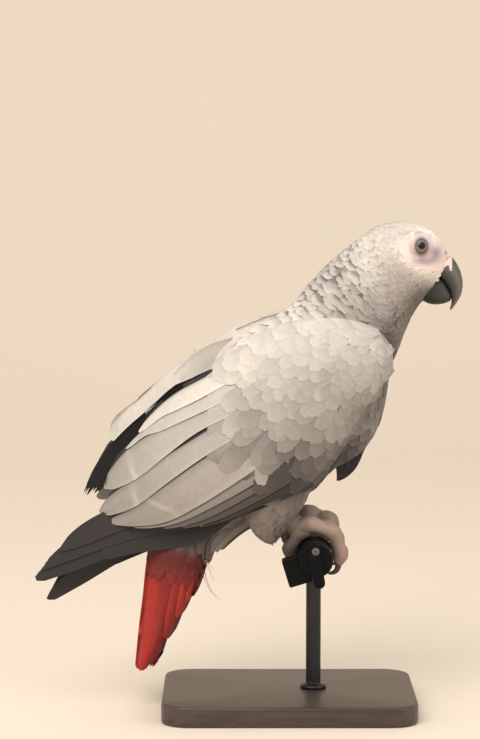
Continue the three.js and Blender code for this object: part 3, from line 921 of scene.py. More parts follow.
def eye_material(name, colours, pupil):
    """A wet eye: black pupil, fibrous iris and dark outer ring."""
    material, tree = new_material(name)
    out, ahead, above = split(mark(tree, "Ring"))
    fibres = noise(merged(ahead * 9.0, above * 9.0, out * 0.5), 1.6, 4.0)
    radius = out + (fibres - 0.5) * 0.5
    ramp = node(tree, "ValToRGB", {0: radius / IRIS_REACH})
    stops = ramp.color_ramp.elements
    black = srgb(14, 12, 12)
    stops[0].position, stops[0].color = 0.0, (*black, 1)
    stops[1].position, stops[1].color = 1.0, (*srgb(38, 33, 32), 1)
    for share, tone in ((0.93, black), (1.08, colours.iris_dark), (1.35, colours.iris),
                        (1.72, colours.iris), (1.9, srgb(92, 80, 74)), (2.15, srgb(70, 60, 56))):
        stop = stops.new(pupil * share / IRIS_REACH)
        stop.color = (*tone, 1)
    levels = {"Specular IOR Level": 0.15, "Coat Weight": 0.3, "Coat Roughness": 0.02}
    return finished(material, Wire(ramp.outputs[0]), 0.3, levels, fibres, 0.05, 0.3)


# ---- skin ------------------------------------------------------------------------------
def around_eye(points):
    """Side, distance from the eye's axis stretched to the lids' oval, and the plain distance."""
    dx, dz = points[..., 0] - EYE[0], points[..., 2] - EYE[2]
    return np.sign(points[..., 1]), np.hypot(dx * LID_WIDE, dz * LID_TALL), np.hypot(dx, dz)


def shaped_face(points, opening):
    """Lids that hug the eyeball, folds round them, and the nostrils."""
    x, y, z = np.moveaxis(points, -1, 0)
    side, rho, plain = around_eye(points)
    ball = EYE[1] + np.sqrt(np.maximum(EYE_RADIUS**2 - np.minimum(plain, 6.0) ** 2, 0))
    y = np.abs(y)
    near = np.where(y > 7, 1 - smooth(rho, 5.4, 9.0), 0)
    y = y * (1 - near) + (ball + 0.2) * near
    y = np.where((rho < opening) & (near > 0), ball - 1.6 * smooth(opening - rho, 0, 0.7), y)
    turn = np.arctan2(z - EYE[2], x - EYE[0])
    folds = (0.12 * bell(rho - 5.7, 0.5) - 0.30 * bell(rho - 6.7, 0.42)
             + 0.20 * bell(rho - 7.6, 0.6) - 0.16 * bell(rho - 8.7, 0.5))
    folds *= 0.65 * (1 + 0.35 * np.sin(3 * turn + 1.2))
    wrinkle = 0.07 * np.sin(rho * 5.2 + 1.5 * np.sin(turn * 5)) * bell(rho - 9, 4)
    y = y + np.where(y > 7, (folds + wrinkle) * smooth(rho, 4.4, 5.2), 0)
    hole = np.hypot(x - NOSTRIL[0], z - NOSTRIL[1])
    y = y - np.where(x > 88, 1.5 * bell(hole, 0.75) - 0.3 * bell(hole - 1.6, 0.55), 0)
    return np.stack([x, side * y, z], -1)


def coat_depth(u):
    """How deep the skin lies under the coat."""
    return np.interp(u * LAST, [0, 2, 4, 6, 8, 10, LAST], [0.5, 0.9, 1.2, 2.0, 3.2, 4.2, 4.0])


def joined(parts):
    """One set of points and faces out of several."""
    faces, start = [], 0
    for points, part in parts:
        faces += [tuple(start + i for i in face) for face in part]
        start += len(points)
    return np.vstack([points for points, _ in parts]), faces


def evaluated(piece):
    """The piece's mesh with its modifiers, put in place of its own."""
    depsgraph = bpy.context.evaluated_depsgraph_get()
    mesh = bpy.data.meshes.new_from_object(piece.evaluated_get(depsgraph))
    piece.modifiers.clear()
    piece.data = mesh
    return piece


def remeshed(piece, cell, rounds):
    """The piece as one smooth closed surface."""
    voxels = piece.modifiers.new("Closed", "REMESH")
    voxels.mode, voxels.voxel_size = "VOXEL", cell * MM
    relax = piece.modifiers.new("Relaxed", "SMOOTH")
    relax.factor, relax.iterations = 0.5, rounds
    return evaluated(piece)


def combined(piece, operation, *others):
    """Adds other closed pieces to a piece, or cuts them out of it, and removes them."""
    for other in others:
        change = piece.modifiers.new("Combined", "BOOLEAN")
        change.operation, change.solver, change.object = operation, "MANIFOLD", other
        evaluated(piece)
        bpy.data.objects.remove(other)


def tube(centres, radii, count, ridges):
    """Rings round a path of centres; ridges changes the radius by ring and angle."""
    forward = unit(np.gradient(centres, axis=0))
    side = unit(np.cross(np.array([0, 1.0, 0]), forward))
    other = np.cross(forward, side)
    angle = circle(count)
    r = radii[:, None] * ridges(np.linspace(0, 1, len(centres))[:, None], angle[None])
    return (centres[:, None] + side[:, None] * (r * np.cos(angle))[..., None]
            + other[:, None] * (r * np.sin(angle))[..., None])


def wrapped(y, splay, start, end, radii, lift):
    """Centres of a toe or claw that wraps the bar from one angle to another."""
    t = np.linspace(0, 1, len(radii))
    angle = np.radians(start + (end - start) * t)
    reach = BAR["radius"] + radii + 0.35 + lift(t)
    return np.stack([BAR["x"] + reach * np.cos(angle), y + splay * (0.4 + 0.6 * np.sqrt(t)),
                     BAR["z"] + reach * np.sin(angle)], -1)


def foot_forms(name):
    """Rings of the shank and toes of one foot."""
    side, a = SIDES[name], math.radians(SOLE_ANGLE)
    y = side * FOOT_Y
    sole = BAR_CENTRE + np.array((math.cos(a), 0, math.sin(a))) * (BAR["radius"] + 6) + (0, y, 0)
    hock = np.array([HOCK[0], y, HOCK[1]])
    stops = [hock, hock + (sole - hock) * 0.4, hock + (sole - hock) * 0.75, sole,
             sole + (4, 0, 1.6)]
    t = np.linspace(0, 1, 41)
    scutes = lambda t, angle: 1 + 0.035 * np.abs(np.sin(t * 26)) * np.clip(np.cos(angle), 0, 1)
    forms = [tube(through(stops, t), level_at([6.6, 6.3, 6.1, 5.8, 4.2], t), 26, scutes)]
    pads = [0.98, 1.1, 0.84, 1.1, 0.8, 1.02, 0.72]
    for toe in TOES:
        radii = level_at(pads, np.linspace(0, 1, 61)) * TOE_RADIUS * toe["size"]
        start, turn, rise = (
            (SOLE_ANGLE - 8, 1, 0) if toe["end"] > SOLE_ANGLE else (SOLE_ANGLE + 4, -1, 2.4))
        scales = lambda t, angle: 1 + 0.05 * np.abs(np.sin(t * 34)) * np.clip(
            turn * np.cos(angle), 0, 1)
        path = wrapped(y, -side * toe["splay"], start, toe["end"], radii,
                       lambda t: rise * np.cos(math.pi * t / 2) ** 2)
        forms.append(tube(path, radii, 22, scales))
    return forms


def lid_ring(name, opening):
    """A smooth rounded rim on the eyeball, as closed rings."""
    side, turn, bead = SIDES[name], circle(72), circle(14)
    rho = opening + 0.42 + 0.46 * np.cos(bead)[None, :]
    dx = rho * np.cos(turn)[:, None] / LID_WIDE
    dz = rho * np.sin(turn)[:, None] / LID_TALL
    plain = np.hypot(dx, dz)
    ball = EYE[1] + np.sqrt(np.maximum(EYE_RADIUS**2 - plain**2, 0.2))
    y = ball + 0.08 + 0.32 * np.sin(bead)[None, :]
    points = np.stack([EYE[0] + dx, side * y, EYE[2] + dz], -1)
    faces = grid_faces(*points.shape[:2], True, True)
    return points.reshape(-1, 3), [tuple(f) for f in faces]


def skin_rings():
    """Positions down the body that are close on the face and wide on the trunk."""
    u = np.linspace(0, 1, 2001)
    cell = np.interp(u * LAST, [0, 4.2, 7, 10, LAST], [0.42, 0.5, 1.0, 1.8, 2.4])
    step = np.linalg.norm(np.diff(body_surface().points[:, 40], axis=0), axis=1)
    reach = np.interp(u, np.linspace(0, 1, RINGS), np.concatenate([[0], np.cumsum(step)]))
    count = np.concatenate([[0], np.cumsum(np.diff(reach) / cell[1:])])
    return np.interp(np.arange(int(count[-1]) + 1), count, u)


def nearest_place(points):
    """The place on the body surface, down it and round it, that is nearest to each point."""
    grid = body_surface().points[::4, ::4]
    rows, cols = grid.shape[:2]
    tree = KDTree(rows * cols)
    for i, p in enumerate(grid.reshape(-1, 3)):
        tree.insert(p, i)
    tree.balance()
    index = np.array([tree.find(p)[1] for p in points])
    return (index // cols) / (rows - 1), (index % cols) / cols


def face_colour(points, colours):
    """Naked face skin: pale, mauve before the eye, mauve under the eye partly as painted shade,
    dark at the lids' edge, with painted shade in the nostril.
    """
    x, z = points[..., 0], points[..., 2]
    _, rho, _ = around_eye(points)
    mauve = np.exp(-(((x - 86.7) / 4.6) ** 2 + ((z - 276.2) / 4.6) ** 2))
    # Mauve under the eye, partly painted shade below the eyeball.
    under = 0.9 * np.exp(-(((x - 79.4) / 7.0) ** 2 + ((z - 271.4) / 2.7) ** 2))
    tone = mix(colours.face, colours.lores, np.clip(mauve + under, 0, 1))
    tone = mix(tone, colours.lores, (1 - smooth(rho, 4.8, 7.2)) * 0.6)
    tone = mix(tone, colours.lid, 1 - smooth(rho, 4.1, 5.0))
    # Painted shade in the nostril.
    hole = np.hypot(x - NOSTRIL[0], z - NOSTRIL[1])
    return tone * (1 - 0.72 * bell(hole, 0.9))[..., None]


class PARROT_OT_skin(bpy.types.Operator):
    """One skin over head, neck, trunk, wings, thighs and feet, inside the coat"""

    bl_idname = "parrot.build_skin"
    bl_label = "Skin"

    def execute(self, context):
        sizes, colours = context.scene.parrot_sizes, context.scene.parrot_colours
        opening = sizes.lid_opening / MM
        naked = skin_material("Bare face skin", grain=1500.0, fold=420.0, depth=0.07, rough=0.62,
                              crease_tone=0.86, grain_share=0.7, fold_share=0.8)
        under = skin_material("Undercoat", grain=500.0, fold=300.0, depth=0.25, rough=0.9,
                              crease_tone=0.8)
        scaly = skin_material("Scaly foot skin", grain=900.0, fold=320.0, depth=0.10, rough=0.6,
                              crease_tone=0.80, grain_share=0.8, fold_share=0.6)
        piece = new_piece("skin", *capped(self.trunk(opening)), under)
        others = []
        for name in SIDES:
            thigh = thigh_surface(name)
            thigh_rings = thigh.points - thigh.normal * 2.2
            foot = new_piece("foot", *joined([capped(f) for f in foot_forms(name)]), under)
            others += [new_piece("thigh", *capped(thigh_rings), under), remeshed(foot, 0.42, 4),
                       new_piece("lid", *lid_ring(name, opening), under),
                       new_piece("wing", *capped(self.wing(name)), under)]
        for other in others + [piece]:
            outward_normals(other)
        combined(piece, "UNION", *others)
        self.paint(piece.data, colours, (under, naked, scaly))
        fit_out(piece, "bare_skin", "head", "cere", "neck", "trunk", "wing_right", "wing_left",
                "thigh_right", "thigh_left", "foot_right", "foot_left")
        return {"FINISHED"}

    def trunk(self, opening):
        """Rings down head, neck and trunk, inside the coat and plain on the naked face."""
        body = body_surface()
        u, v = np.broadcast_arrays(skin_rings()[:, None], np.arange(240)[None] / 240)
        surface = body.at(u, v)
        naked = bare_face(surface)
        depth = coat_depth(u) * (1 - naked) + 0.1 * naked
        points = surface - unit(body.read(body.normal, u, v)) * depth[..., None]
        return shaped_face(points, opening)

    def wing(self, name):
        """Rings down the flesh of a folded wing, flat towards the body."""
        wing, side = wing_surface(name), SIDES[name]
        rows, cols = np.arange(22, 82, 3), slice(5, 56, 3)
        inset = np.interp(rows, [22, 56, 68, 82], [3.0, 2.6, 3.8, 4.4])
        outer = wing.points[rows, cols] - wing.normal[rows, cols] * inset[:, None, None]
        inner = outer.copy()
        inner[..., 1] = side * np.minimum(np.abs(outer[..., 1]) - 2, 16)
        return np.concatenate([outer, inner[:, ::-1]], 1)

    def paint(self, mesh, colours, materials):
        """Colours the skin like the coat above it, and sorts its faces by material."""
        points = np.zeros(len(mesh.vertices) * 3, np.float32)
        mesh.vertices.foreach_get("co", points)
        points = points.reshape(-1, 3).astype(float) / MM
        x, y, z = points.T
        tint = plumage(body_tone_and_shade(*nearest_place(points)) * 0.88)
        wing = (np.abs(y) > 24) & (z > 120) & (x < 58)
        tint = np.where(wing[:, None], plumage(wing_tone_and_shade(points[:, [0, 2]]) * 0.86), tint)
        naked = bare_face(points) * (x > 60)
        tint = mix(tint, face_colour(points, colours), naked)
        leg = (z < 113.5 + np.clip(x + 14, 0, 14)) & (x > -16)
        # Darker low on the toes and at the back of the foot as painted shade, lighter on top of
        # the front toes as painted light, rosy at the toe ends.
        foot = mix(colours.foot, colours.foot_shade, smooth(117 - z, 0, 17))
        foot = foot * np.interp(x, [2, 10, 14, 36], [0.56, 0.76, 1.26, 1.16])[:, None]
        foot = mix(foot, colours.toe_tip, 0.5 * smooth(x, 25, 33) * smooth(114 - z, 0, 8))
        put_marks(mesh, "Tint", rgba(np.where(leg[:, None], foot, tint)))
        mesh.materials.clear()
        for material in materials:
            mesh.materials.append(material)
        first = np.array([p.vertices[0] for p in mesh.polygons])
        kind = np.where(leg[first], 2, np.where(naked[first] > 0.3, 1, 0))
        mesh.polygons.foreach_set("material_index", kind.astype(np.int32))
        shade(mesh, True)
        mesh.update()


# ---- eyes, bill and claws --------------------------------------------------------------
class PARROT_OT_eyes(bpy.types.Operator):
    """Wet eyes with a round pupil and a pale iris"""

    bl_idname = "parrot.build_eyes"
    bl_label = "Eyes"

    def execute(self, context):
        sizes, colours = context.scene.parrot_sizes, context.scene.parrot_colours
        material = eye_material("Eye", colours, sizes.pupil / MM)
        for name, side in SIDES.items():
            degrees = np.concatenate([np.linspace(0.4, 60, 46), np.linspace(63, 176, 22)])[:, None]
            polar, turn = np.radians(degrees), circle(64)
            bulge = EYE_RADIUS - 0.1 + 0.35 * bell(degrees, 30)
            bulge = bulge * (1 - 0.2 * smooth(degrees, 50, 76))
            out = bulge * np.sin(polar)
            points = np.stack(np.broadcast_arrays(
                EYE[0] + out * np.cos(turn), side * (EYE[1] - 0.1 + bulge * np.cos(polar)),
                EYE[2] + out * np.sin(turn)), -1)
            wide = np.where(polar < math.pi / 2, out, EYE_RADIUS)
            fade = np.clip(1 - (wide / EYE_RADIUS) ** 2, 0, 1)
            ahead = wide * np.cos(turn) - GAZE[0] * fade
            above = wide * np.sin(turn) - GAZE[1] * fade
            apart = np.hypot(ahead, above)
            ring = np.stack([apart, ahead / apart, above / apart], -1)
            ring = np.vstack([ring.reshape(-1, 3), [[np.hypot(*GAZE), 0, 0], [EYE_RADIUS, 0, 0]]])
            fit_out(closed_piece(f"eyeball_{name}", points, material, {"Ring": ring}), "eye",
                    f"eye_{name}")
        return {"FINISHED"}


def horn_piece(name, rings, material, worn):
    """A closed horn form with its growth coordinates and its wear mark, which on the bill also
    holds painted highlights.
    """
    rows, cols = rings.shape[:2]
    t, around = np.linspace(0, 1, rows)[:, None], np.arange(cols)[None] / cols
    along = t * path_length(rings.mean(1))
    marks = np.stack(np.broadcast_arrays(
        along, np.cos(math.tau * around), worn(t, around)), -1).reshape(-1, 3)
    marks = np.vstack([marks, marks[:cols].mean(0), marks[-cols:].mean(0)])
    return closed_piece(name, rings, material, {"Horn": marks})


class PARROT_OT_bill(bpy.types.Operator):
    """Upper and lower bill with cutting edges, a ridge, growth layers, a worn tip and painted
    highlights on the ridge and sides
    """

    bl_idname = "parrot.build_bill"
    bl_label = "Bill"

    def execute(self, context):
        colours = context.scene.parrot_colours
        horn = horn_material("Bill horn", colours.bill, colours.bill_sheen_and_wear, 0.42,
                             [0.82 * c for c in colours.face])
        dark = horn_material("Lower bill horn", [0.3 * c for c in colours.bill], colours.bill, 0.4)
        self.upper(horn)
        self.lower(dark)
        return {"FINISHED"}

    def upper(self, horn):
        rings = loft(BILL, 110, 56, power=1.9)
        t, angle = np.linspace(0, 1, len(rings))[:, None], circle(56)[None]
        centre = rings.mean(1, keepdims=True)
        ridge = 1 + 0.045 * bell(np.minimum(angle, math.tau - angle), 0.3)
        lip = 0.05 * bell(np.abs(angle - math.pi) - 0.62, 0.26) * (1 - t)
        hollow = 0.03 * bell(angle - math.pi, 0.42) * (1 - t) ** 0.5
        growth = 0.006 * np.sin(t * 46 + 2 * np.sin(angle)) * (1 - t)
        rings = centre + (rings - centre) * (ridge + lip - hollow + growth)[..., None]
        x, z = rings[..., 0], rings[..., 2] - 0.5
        lobe = np.interp(x, [89, 92.4, 94.8, 95.9, 96.3], [262.5, 267.0, 268.8, 264.6, 264.0])
        cere = smooth(np.minimum(97.5 - 0.12 * (274 - z) - x, z - lobe), -0.25, 0.25)
        # Pale along the ridge and in bands on the sides as painted highlight, worn paler at the
        # tip, and turned to cere skin at the base.
        worn = lambda t, a: (0.6 * bell(np.minimum(a, 1 - a), 0.1) * smooth(t, 0.1, 0.5)
                             + 0.5 * bell(np.abs(np.abs(a - 0.5) - 0.32), 0.07)
                             + 0.3 * smooth(t, 0.72, 0.98) + 0.18 + 2.4 * cere)
        fit_out(horn_piece("bill_upper", rings, horn, worn), "bill_horn", "upper_bill")

    def lower(self, dark):
        rings = loft(LOWER_BILL, 70, 48, power=2.3)
        t, angle = np.linspace(0, 1, len(rings))[:, None], circle(48)[None]
        centre = rings.mean(1, keepdims=True)
        keel = 1 + 0.05 * bell(angle - math.pi, 0.35) + 0.006 * np.sin(t * 40)
        rings = centre + (rings - centre) * keel[..., None]
        # Pale bands on the sides of the lower bill as painted reflection.
        worn = lambda t, a: 0.9 * bell(np.abs(np.abs(a - 0.5) - 0.27), 0.08) * bell(t - 0.5, 0.32)
        fit_out(horn_piece("bill_lower", rings, dark, worn), "bill_horn", "lower_bill")


class PARROT_OT_claws(bpy.types.Operator):
    """Eight curved claws that grip the bar"""

    bl_idname = "parrot.build_claws"
    bl_label = "Claws"

    def execute(self, context):
        colours = context.scene.parrot_colours
        horn = horn_material("Claw horn", colours.claw, colours.bill, 0.38)
        taper = [1.08, 1.0, 0.86, 0.68, 0.46, 0.16]
        for name, side in SIDES.items():
            for index, toe in enumerate(TOES):
                radii = level_at(taper, np.linspace(0, 1, 34)) * CLAW_RADIUS
                lead = (toe["claw"] - toe["end"]) * 0.16
                path = wrapped(side * (FOOT_Y - toe["splay"]), 0, toe["end"] - lead,
                               toe["claw"], radii, lambda t: 1.2 + 3 * np.sin(math.pi * t))
                groove = lambda t, a: 1 + 0.05 * np.cos(2 * a) * (1 - t)
                worn = lambda t, a: 0.5 * smooth(t, 0.5, 1.0) + 0.1 + 0 * a
                piece = horn_piece(f"talon_{name}_{index + 1}", tube(path, radii, 20, groove),
                                   horn, worn)
                fit_out(piece, "claw_horn", f"claw_{name}_{index + 1}")
        return {"FINISHED"}


# ---- perch, stand and studio -----------------------------------------------------------
def turned_form(profile, count, centre):
    """Rings of a round form from its profile of place along the axis and radius."""
    profile, angle = np.asarray(profile, float), circle(count)
    return np.stack(np.broadcast_arrays(
        profile[:, 1:2] * np.cos(angle), profile[:, :1] + 0 * angle,
        profile[:, 1:2] * np.sin(angle)), -1) + centre


def eased_corner(edge, radius, size, steps=6):
    """Profile points of a rounded outer corner that ends a round bar."""
    a = np.linspace(0, math.pi / 2, steps)
    return [(edge - size + size * math.sin(x), radius - size + size * math.cos(x)) for x in a]


def cad_box(name):
    """The lowest and the highest corner of a frame node, in millimetres."""
    return (np.array(corner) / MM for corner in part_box(name))


def block(name, outline, low, high, bevel, material, upright=False):
    """A bevelled plate over an outline, from one level to another."""
    centre = outline.mean(0)
    reach = np.linalg.norm(outline - centre, axis=1, keepdims=True)
    steps = np.linspace(0, math.pi / 2, 5)
    rise, pull = bevel * (1 - np.sin(steps)), bevel * (1 - np.cos(steps))
    levels = np.concatenate([low + rise[::-1], high - rise])
    rings = np.array([
        np.column_stack([centre + (outline - centre) * (1 - inset / reach),
                         np.full(len(outline), level)])
        for level, inset in zip(levels, np.concatenate([pull[::-1], pull]))])
    return closed_piece(name, rings if upright else rings[..., [0, 2, 1]], material)


def rounded_box(length_x, length_z, corner, count=6):
    """Outline points of a rectangle with rounded corners, closely set along its sides."""
    points = []
    for sx, sz, start in ((1, 1, 0), (-1, 1, 90), (-1, -1, 180), (1, -1, 270)):
        for a in np.radians(np.linspace(start, start + 90, count)):
            points.append((sx * (length_x / 2 - corner) + corner * math.cos(a),
                           sz * (length_z / 2 - corner) + corner * math.sin(a)))
    edge = []
    for p, q in zip(np.array(points), np.roll(points, -1, 0)):
        pieces = max(1, int(math.dist(p, q) / 3))
        edge += [p + (q - p) * k / pieces for k in range(pieces)]
    return np.array(edge)


class PARROT_OT_perch(bpy.types.Operator):
    """A short black bar with its clamp block, lever and screw"""

    bl_idname = "parrot.build_perch"
    bl_label = "Perch"

    def execute(self, context):
        coat = coated_metal("Black perch coating", context.scene.parrot_colours.perch, 0.42, 0.0)
        steel = coated_metal("Screw steel", srgb(92, 90, 88), 0.6, 0.0)
        half, radius = BAR["length"] / 2, BAR["radius"]
        end = eased_corner(half, radius, 1.4)
        profile = [(-a, r) for a, r in end] + end
        profile += [(y, radius) for y in np.linspace(-half + 5, half - 5, 40)]
        for groove in (-half + 3.4, half - 3.4):
            profile += [(groove - 0.5, radius), (groove - 0.25, radius - 0.45),
                        (groove + 0.25, radius - 0.45), (groove + 0.5, radius)]
        profile = [(-half, 3.2), *sorted(profile), (half, 3.2)]
        rings = turned_form(profile, 72, BAR_CENTRE)
        fit_out(closed_piece("bar_tube", rings, coat), "perch_black", "perch_bar")
        self.clamp(coat)
        self.lever(coat, steel)
        return {"FINISHED"}

    def clamp(self, coat):
        low, high = cad_box("perch_clamp")
        outline = turned(rounded_box(14.4, 17, 1.2), (0, 0), -17) + (4.2, 91.2)
        piece = block("clamp_block", outline, low[1], high[1], 0.7, coat)
        bore = BAR["radius"] + 0.3
        hole = turned_form([(low[1] - 5, bore), (high[1] + 5, bore)], 64, BAR_CENTRE)
        cutter = closed_piece("clamp_hole", hole, coat)
        combined(piece, "DIFFERENCE", cutter)
        shade(piece.data, False)
        fit_out(piece, "perch_black", "perch_clamp")

    def lever(self, coat, steel):
        low, high = cad_box("perch_lever")
        outline = turned(rounded_box(6.8, 28, 3.35, 9), (0, 0), -10) + (BAR["x"], 96.0)
        piece = block("lever_plate", outline, low[1], high[1], 0.8, coat)
        fit_out(piece, "perch_black", "perch_lever")
        dome = [(low[1] + 0.6, 2.3), (low[1] - 0.3, 2.25), (low[1] - 0.7, 1.9),
                (low[1] - 0.95, 1.1), (low[1] - 0.95, 0.9), (low[1] - 0.4, 0.8)]
        head = turned_form(dome[::-1], 40, (BAR["x"] - 0.4, 0, 104.2))
        fit_out(closed_piece("lever_screw", head, steel), "perch_black")


class PARROT_OT_stand(bpy.types.Operator):
    """A dark wooden base and the rod that carries the bar"""

    bl_idname = "parrot.build_stand"
    bl_label = "Stand"

    def execute(self, context):
        colours = context.scene.parrot_colours
        wood = wood_material("Stained base wood", colours.wood)
        metal = coated_metal("Dark rod metal", colours.metal, 0.32, 0.85)
        low, high = cad_box("stand_base")
        outline = rounded_box(high[0] - low[0], high[1] - low[1], 16, 14)
        base = block("stand_plate", outline, 0.0, high[2], 1.5, wood, upright=True)
        fit_out(base, "stand_wood", "stand_base")
        low, high = cad_box("stand_rod")
        radius = (high[0] - low[0]) / 2
        bottom, top = low[2] - 0.2, high[2]
        foot = [(0, 3.4), (1.6, 3.3), (2.4, 2.7), (2.8, 1.4), (3.0, 0.1), (3.4, 0)]
        profile = [(bottom + up, radius + out) for up, out in foot]
        profile += [(z, radius) for z in np.linspace(bottom + 5, top - 1.2, 24)]
        profile += [(top - 0.4, radius - 0.2), (top, radius - 0.6)]
        rings = turned_form(profile, 48, (BAR["x"], 0, 0))[..., [0, 2, 1]]
        fit_out(closed_piece("stand_post", rings, metal), "stand_metal", "stand_rod")
        return {"FINISHED"}


VIEW_CENTRE = Vector((-0.0294, 0, 0.2057))
LAMP_TARGET = Vector((-0.03, 0, 0.19))


class PARROT_OT_stage(bpy.types.Operator):
    """Plain floor and backdrop, soft lamps and the camera"""

    bl_idname = "parrot.build_stage"
    bl_label = "Studio"

    def execute(self, context):
        stage, colours = context.scene.parrot_stage, context.scene.parrot_colours
        material, tree = new_material("Studio backdrop")
        paper, _ = mottled(tree, colours.backdrop, 3.0, 0.012)
        finished(material, paper, 0.95, {"Specular IOR Level": 0.1})
        sweep = [(-2.4, 0.0)] + [(y, 0.0) for y in np.linspace(-2.0, 1.2, 9)]
        for a in np.linspace(0, math.pi / 2, 13)[1:]:
            sweep.append((1.2 + 1.1 * math.sin(a), 1.1 - 1.1 * math.cos(a)))
        sweep += [(2.3, z) for z in (2.0, 3.2)]
        across = np.linspace(-3.2, 3.2, 9)
        points = np.array([[(x, y, z - 0.0002) for x in across] for y, z in sweep])
        floor = new_piece("studio_floor", points.reshape(-1, 3) / MM,
                          grid_faces(len(sweep), len(across), False)[:, ::-1], material)
        world = bpy.data.worlds.new("Studio light")
        context.scene.world = world
        world.use_nodes = True
        light = world.node_tree.nodes["Background"]
        light.inputs["Color"].default_value = (1.0, 0.995, 0.985, 1)
        light.inputs["Strength"].default_value = stage.sky
        self.lamp("Key", (-0.55, -1.15, 1.35), 1.3, stage.key, (1.0, 0.985, 0.96))
        self.lamp("Fill", (1.2, -0.9, 0.7), 1.2, stage.fill, (0.97, 0.985, 1.0))
        self.camera(context, stage)
        context.scene.view_settings.view_transform = "Standard"
        return {"FINISHED"}

    def aimed(self, name, data, place, target):
        """Puts a lamp or a camera at a place, turned towards a target."""
        item = bpy.data.objects.new(name, data)
        item.location = place
        item.rotation_euler = (target - place).to_track_quat("-Z", "Y").to_euler()
        bpy.context.scene.collection.objects.link(item)
        return item

    def lamp(self, name, place, size, power, tint):
        light = bpy.data.lights.new(name, "AREA")
        light.shape, light.size, light.energy, light.color = "DISK", size, power, tint
        self.aimed(name, light, Vector(place), LAMP_TARGET)

    def camera(self, context, stage):
        data = bpy.data.cameras.new("Studio camera")
        data.sensor_width = 36.0
        data.lens = data.sensor_width * stage.distance / stage.frame_height
        data.clip_start, data.clip_end = 0.01, 20
        back = Vector((0, -math.cos(stage.height), math.sin(stage.height)))
        context.scene.camera = self.aimed(
            "Studio camera", data, VIEW_CENTRE + back * stage.distance, VIEW_CENTRE)


# ---- feathers --------------------------------------------------------------------------
TAIL = [
    (-79, 116, -45.6, 100.6, 13), (-84.4, 97, -49, 91.6, 16), (-86.6, 79, -53.6, 80.6, 16),
    (-88.4, 58, -61, 60.6, 14), (-90.4, 41, -70.6, 43, 11.4), (-92, 28.6, -79.4, 29.6, 7.6),
    (-91.4, 24.8, -84.6, 25.2, 4),
]


class VanePattern:
    """Points of one closed thin vane: s across from -1 to 1, t from root to tip."""

    def __init__(self, cols, rows):
        t = 1 - (1 - np.linspace(0, 1, rows + 1)) ** 1.25
        top_t, top_s = np.meshgrid(t, np.linspace(-1, 1, cols + 1), indexing="ij")
        self.s = np.concatenate([top_s.ravel(), top_s[1:-1, 1:-1].ravel()])
        self.t = np.concatenate([top_t.ravel(), top_t[1:-1, 1:-1].ravel()])
        count = top_t.size
        self.under = np.arange(len(self.s)) >= count
        self.cols, self.column = cols, np.concatenate([
            np.tile(np.arange(cols + 1), rows + 1), np.tile(np.arange(1, cols), rows - 1)])
        low = np.arange(count).reshape(rows + 1, cols + 1)
        rim = np.ones(low.shape, bool)
        rim[1:-1, 1:-1] = False
        self.rim = np.concatenate([rim.ravel(), np.zeros(len(self.s) - count, bool)])
        low[1:-1, 1:-1] = np.arange(count, len(self.s)).reshape(rows - 1, cols - 1)
        top = grid_faces(rows + 1, cols + 1, False)
        self.faces = np.vstack([top, low.ravel()[top][:, ::-1]])

    def belly(self, thick, ease):
        """How far each point lies below the upper face of a vane of this thickness."""
        swell = np.sin(math.pi * np.clip(self.t, ease, 1 - ease)) ** 0.5
        return np.where(self.under, thick * (1 - self.s**2) * swell, 0)


def map_place(u, v):
    """The place on the bake map for places down and across a surface."""
    return np.stack([0.02 + 0.96 * v, 0.02 + 0.96 * u], -1)


class Vanes:
    """Gathers vanes of one pattern into a single piece."""

    def __init__(self, pattern, rng):
        self.pattern, self.rng = pattern, rng
        self.points, self.tints, self.places, self.patches = [], [], [], []

    def gather(self, points, tints, places, patches):
        """Adds vanes: points, colours, places on the vane and places on the map."""
        self.points.append(points.reshape(-1, 3))
        self.tints.append(rgba(tints))
        self.places.append(places.reshape(-1, 3))
        self.patches.append(patches.reshape(-1, 2))

    def piece(self, name, material):
        """The gathered vanes, each with a sharp rim between its upper and under face."""
        points, size = np.concatenate(self.points), len(self.pattern.s)
        first = np.arange(0, len(points), size)
        faces = (self.pattern.faces[None] + first[:, None, None]).reshape(-1, 4)
        marks = {"Tint": np.concatenate(self.tints), "Vane": np.concatenate(self.places)}
        piece = new_piece(name, points, faces, material, marks, np.concatenate(self.patches))
        ends = np.zeros(len(piece.data.edges) * 2, np.int32)
        piece.data.edges.foreach_get("vertices", ends)
        layer = piece.data.attributes.new("sharp_edge", "BOOLEAN", "EDGE")
        layer.data.foreach_set("value", self.pattern.rim[ends.reshape(-1, 2) % size].all(1))
        return piece


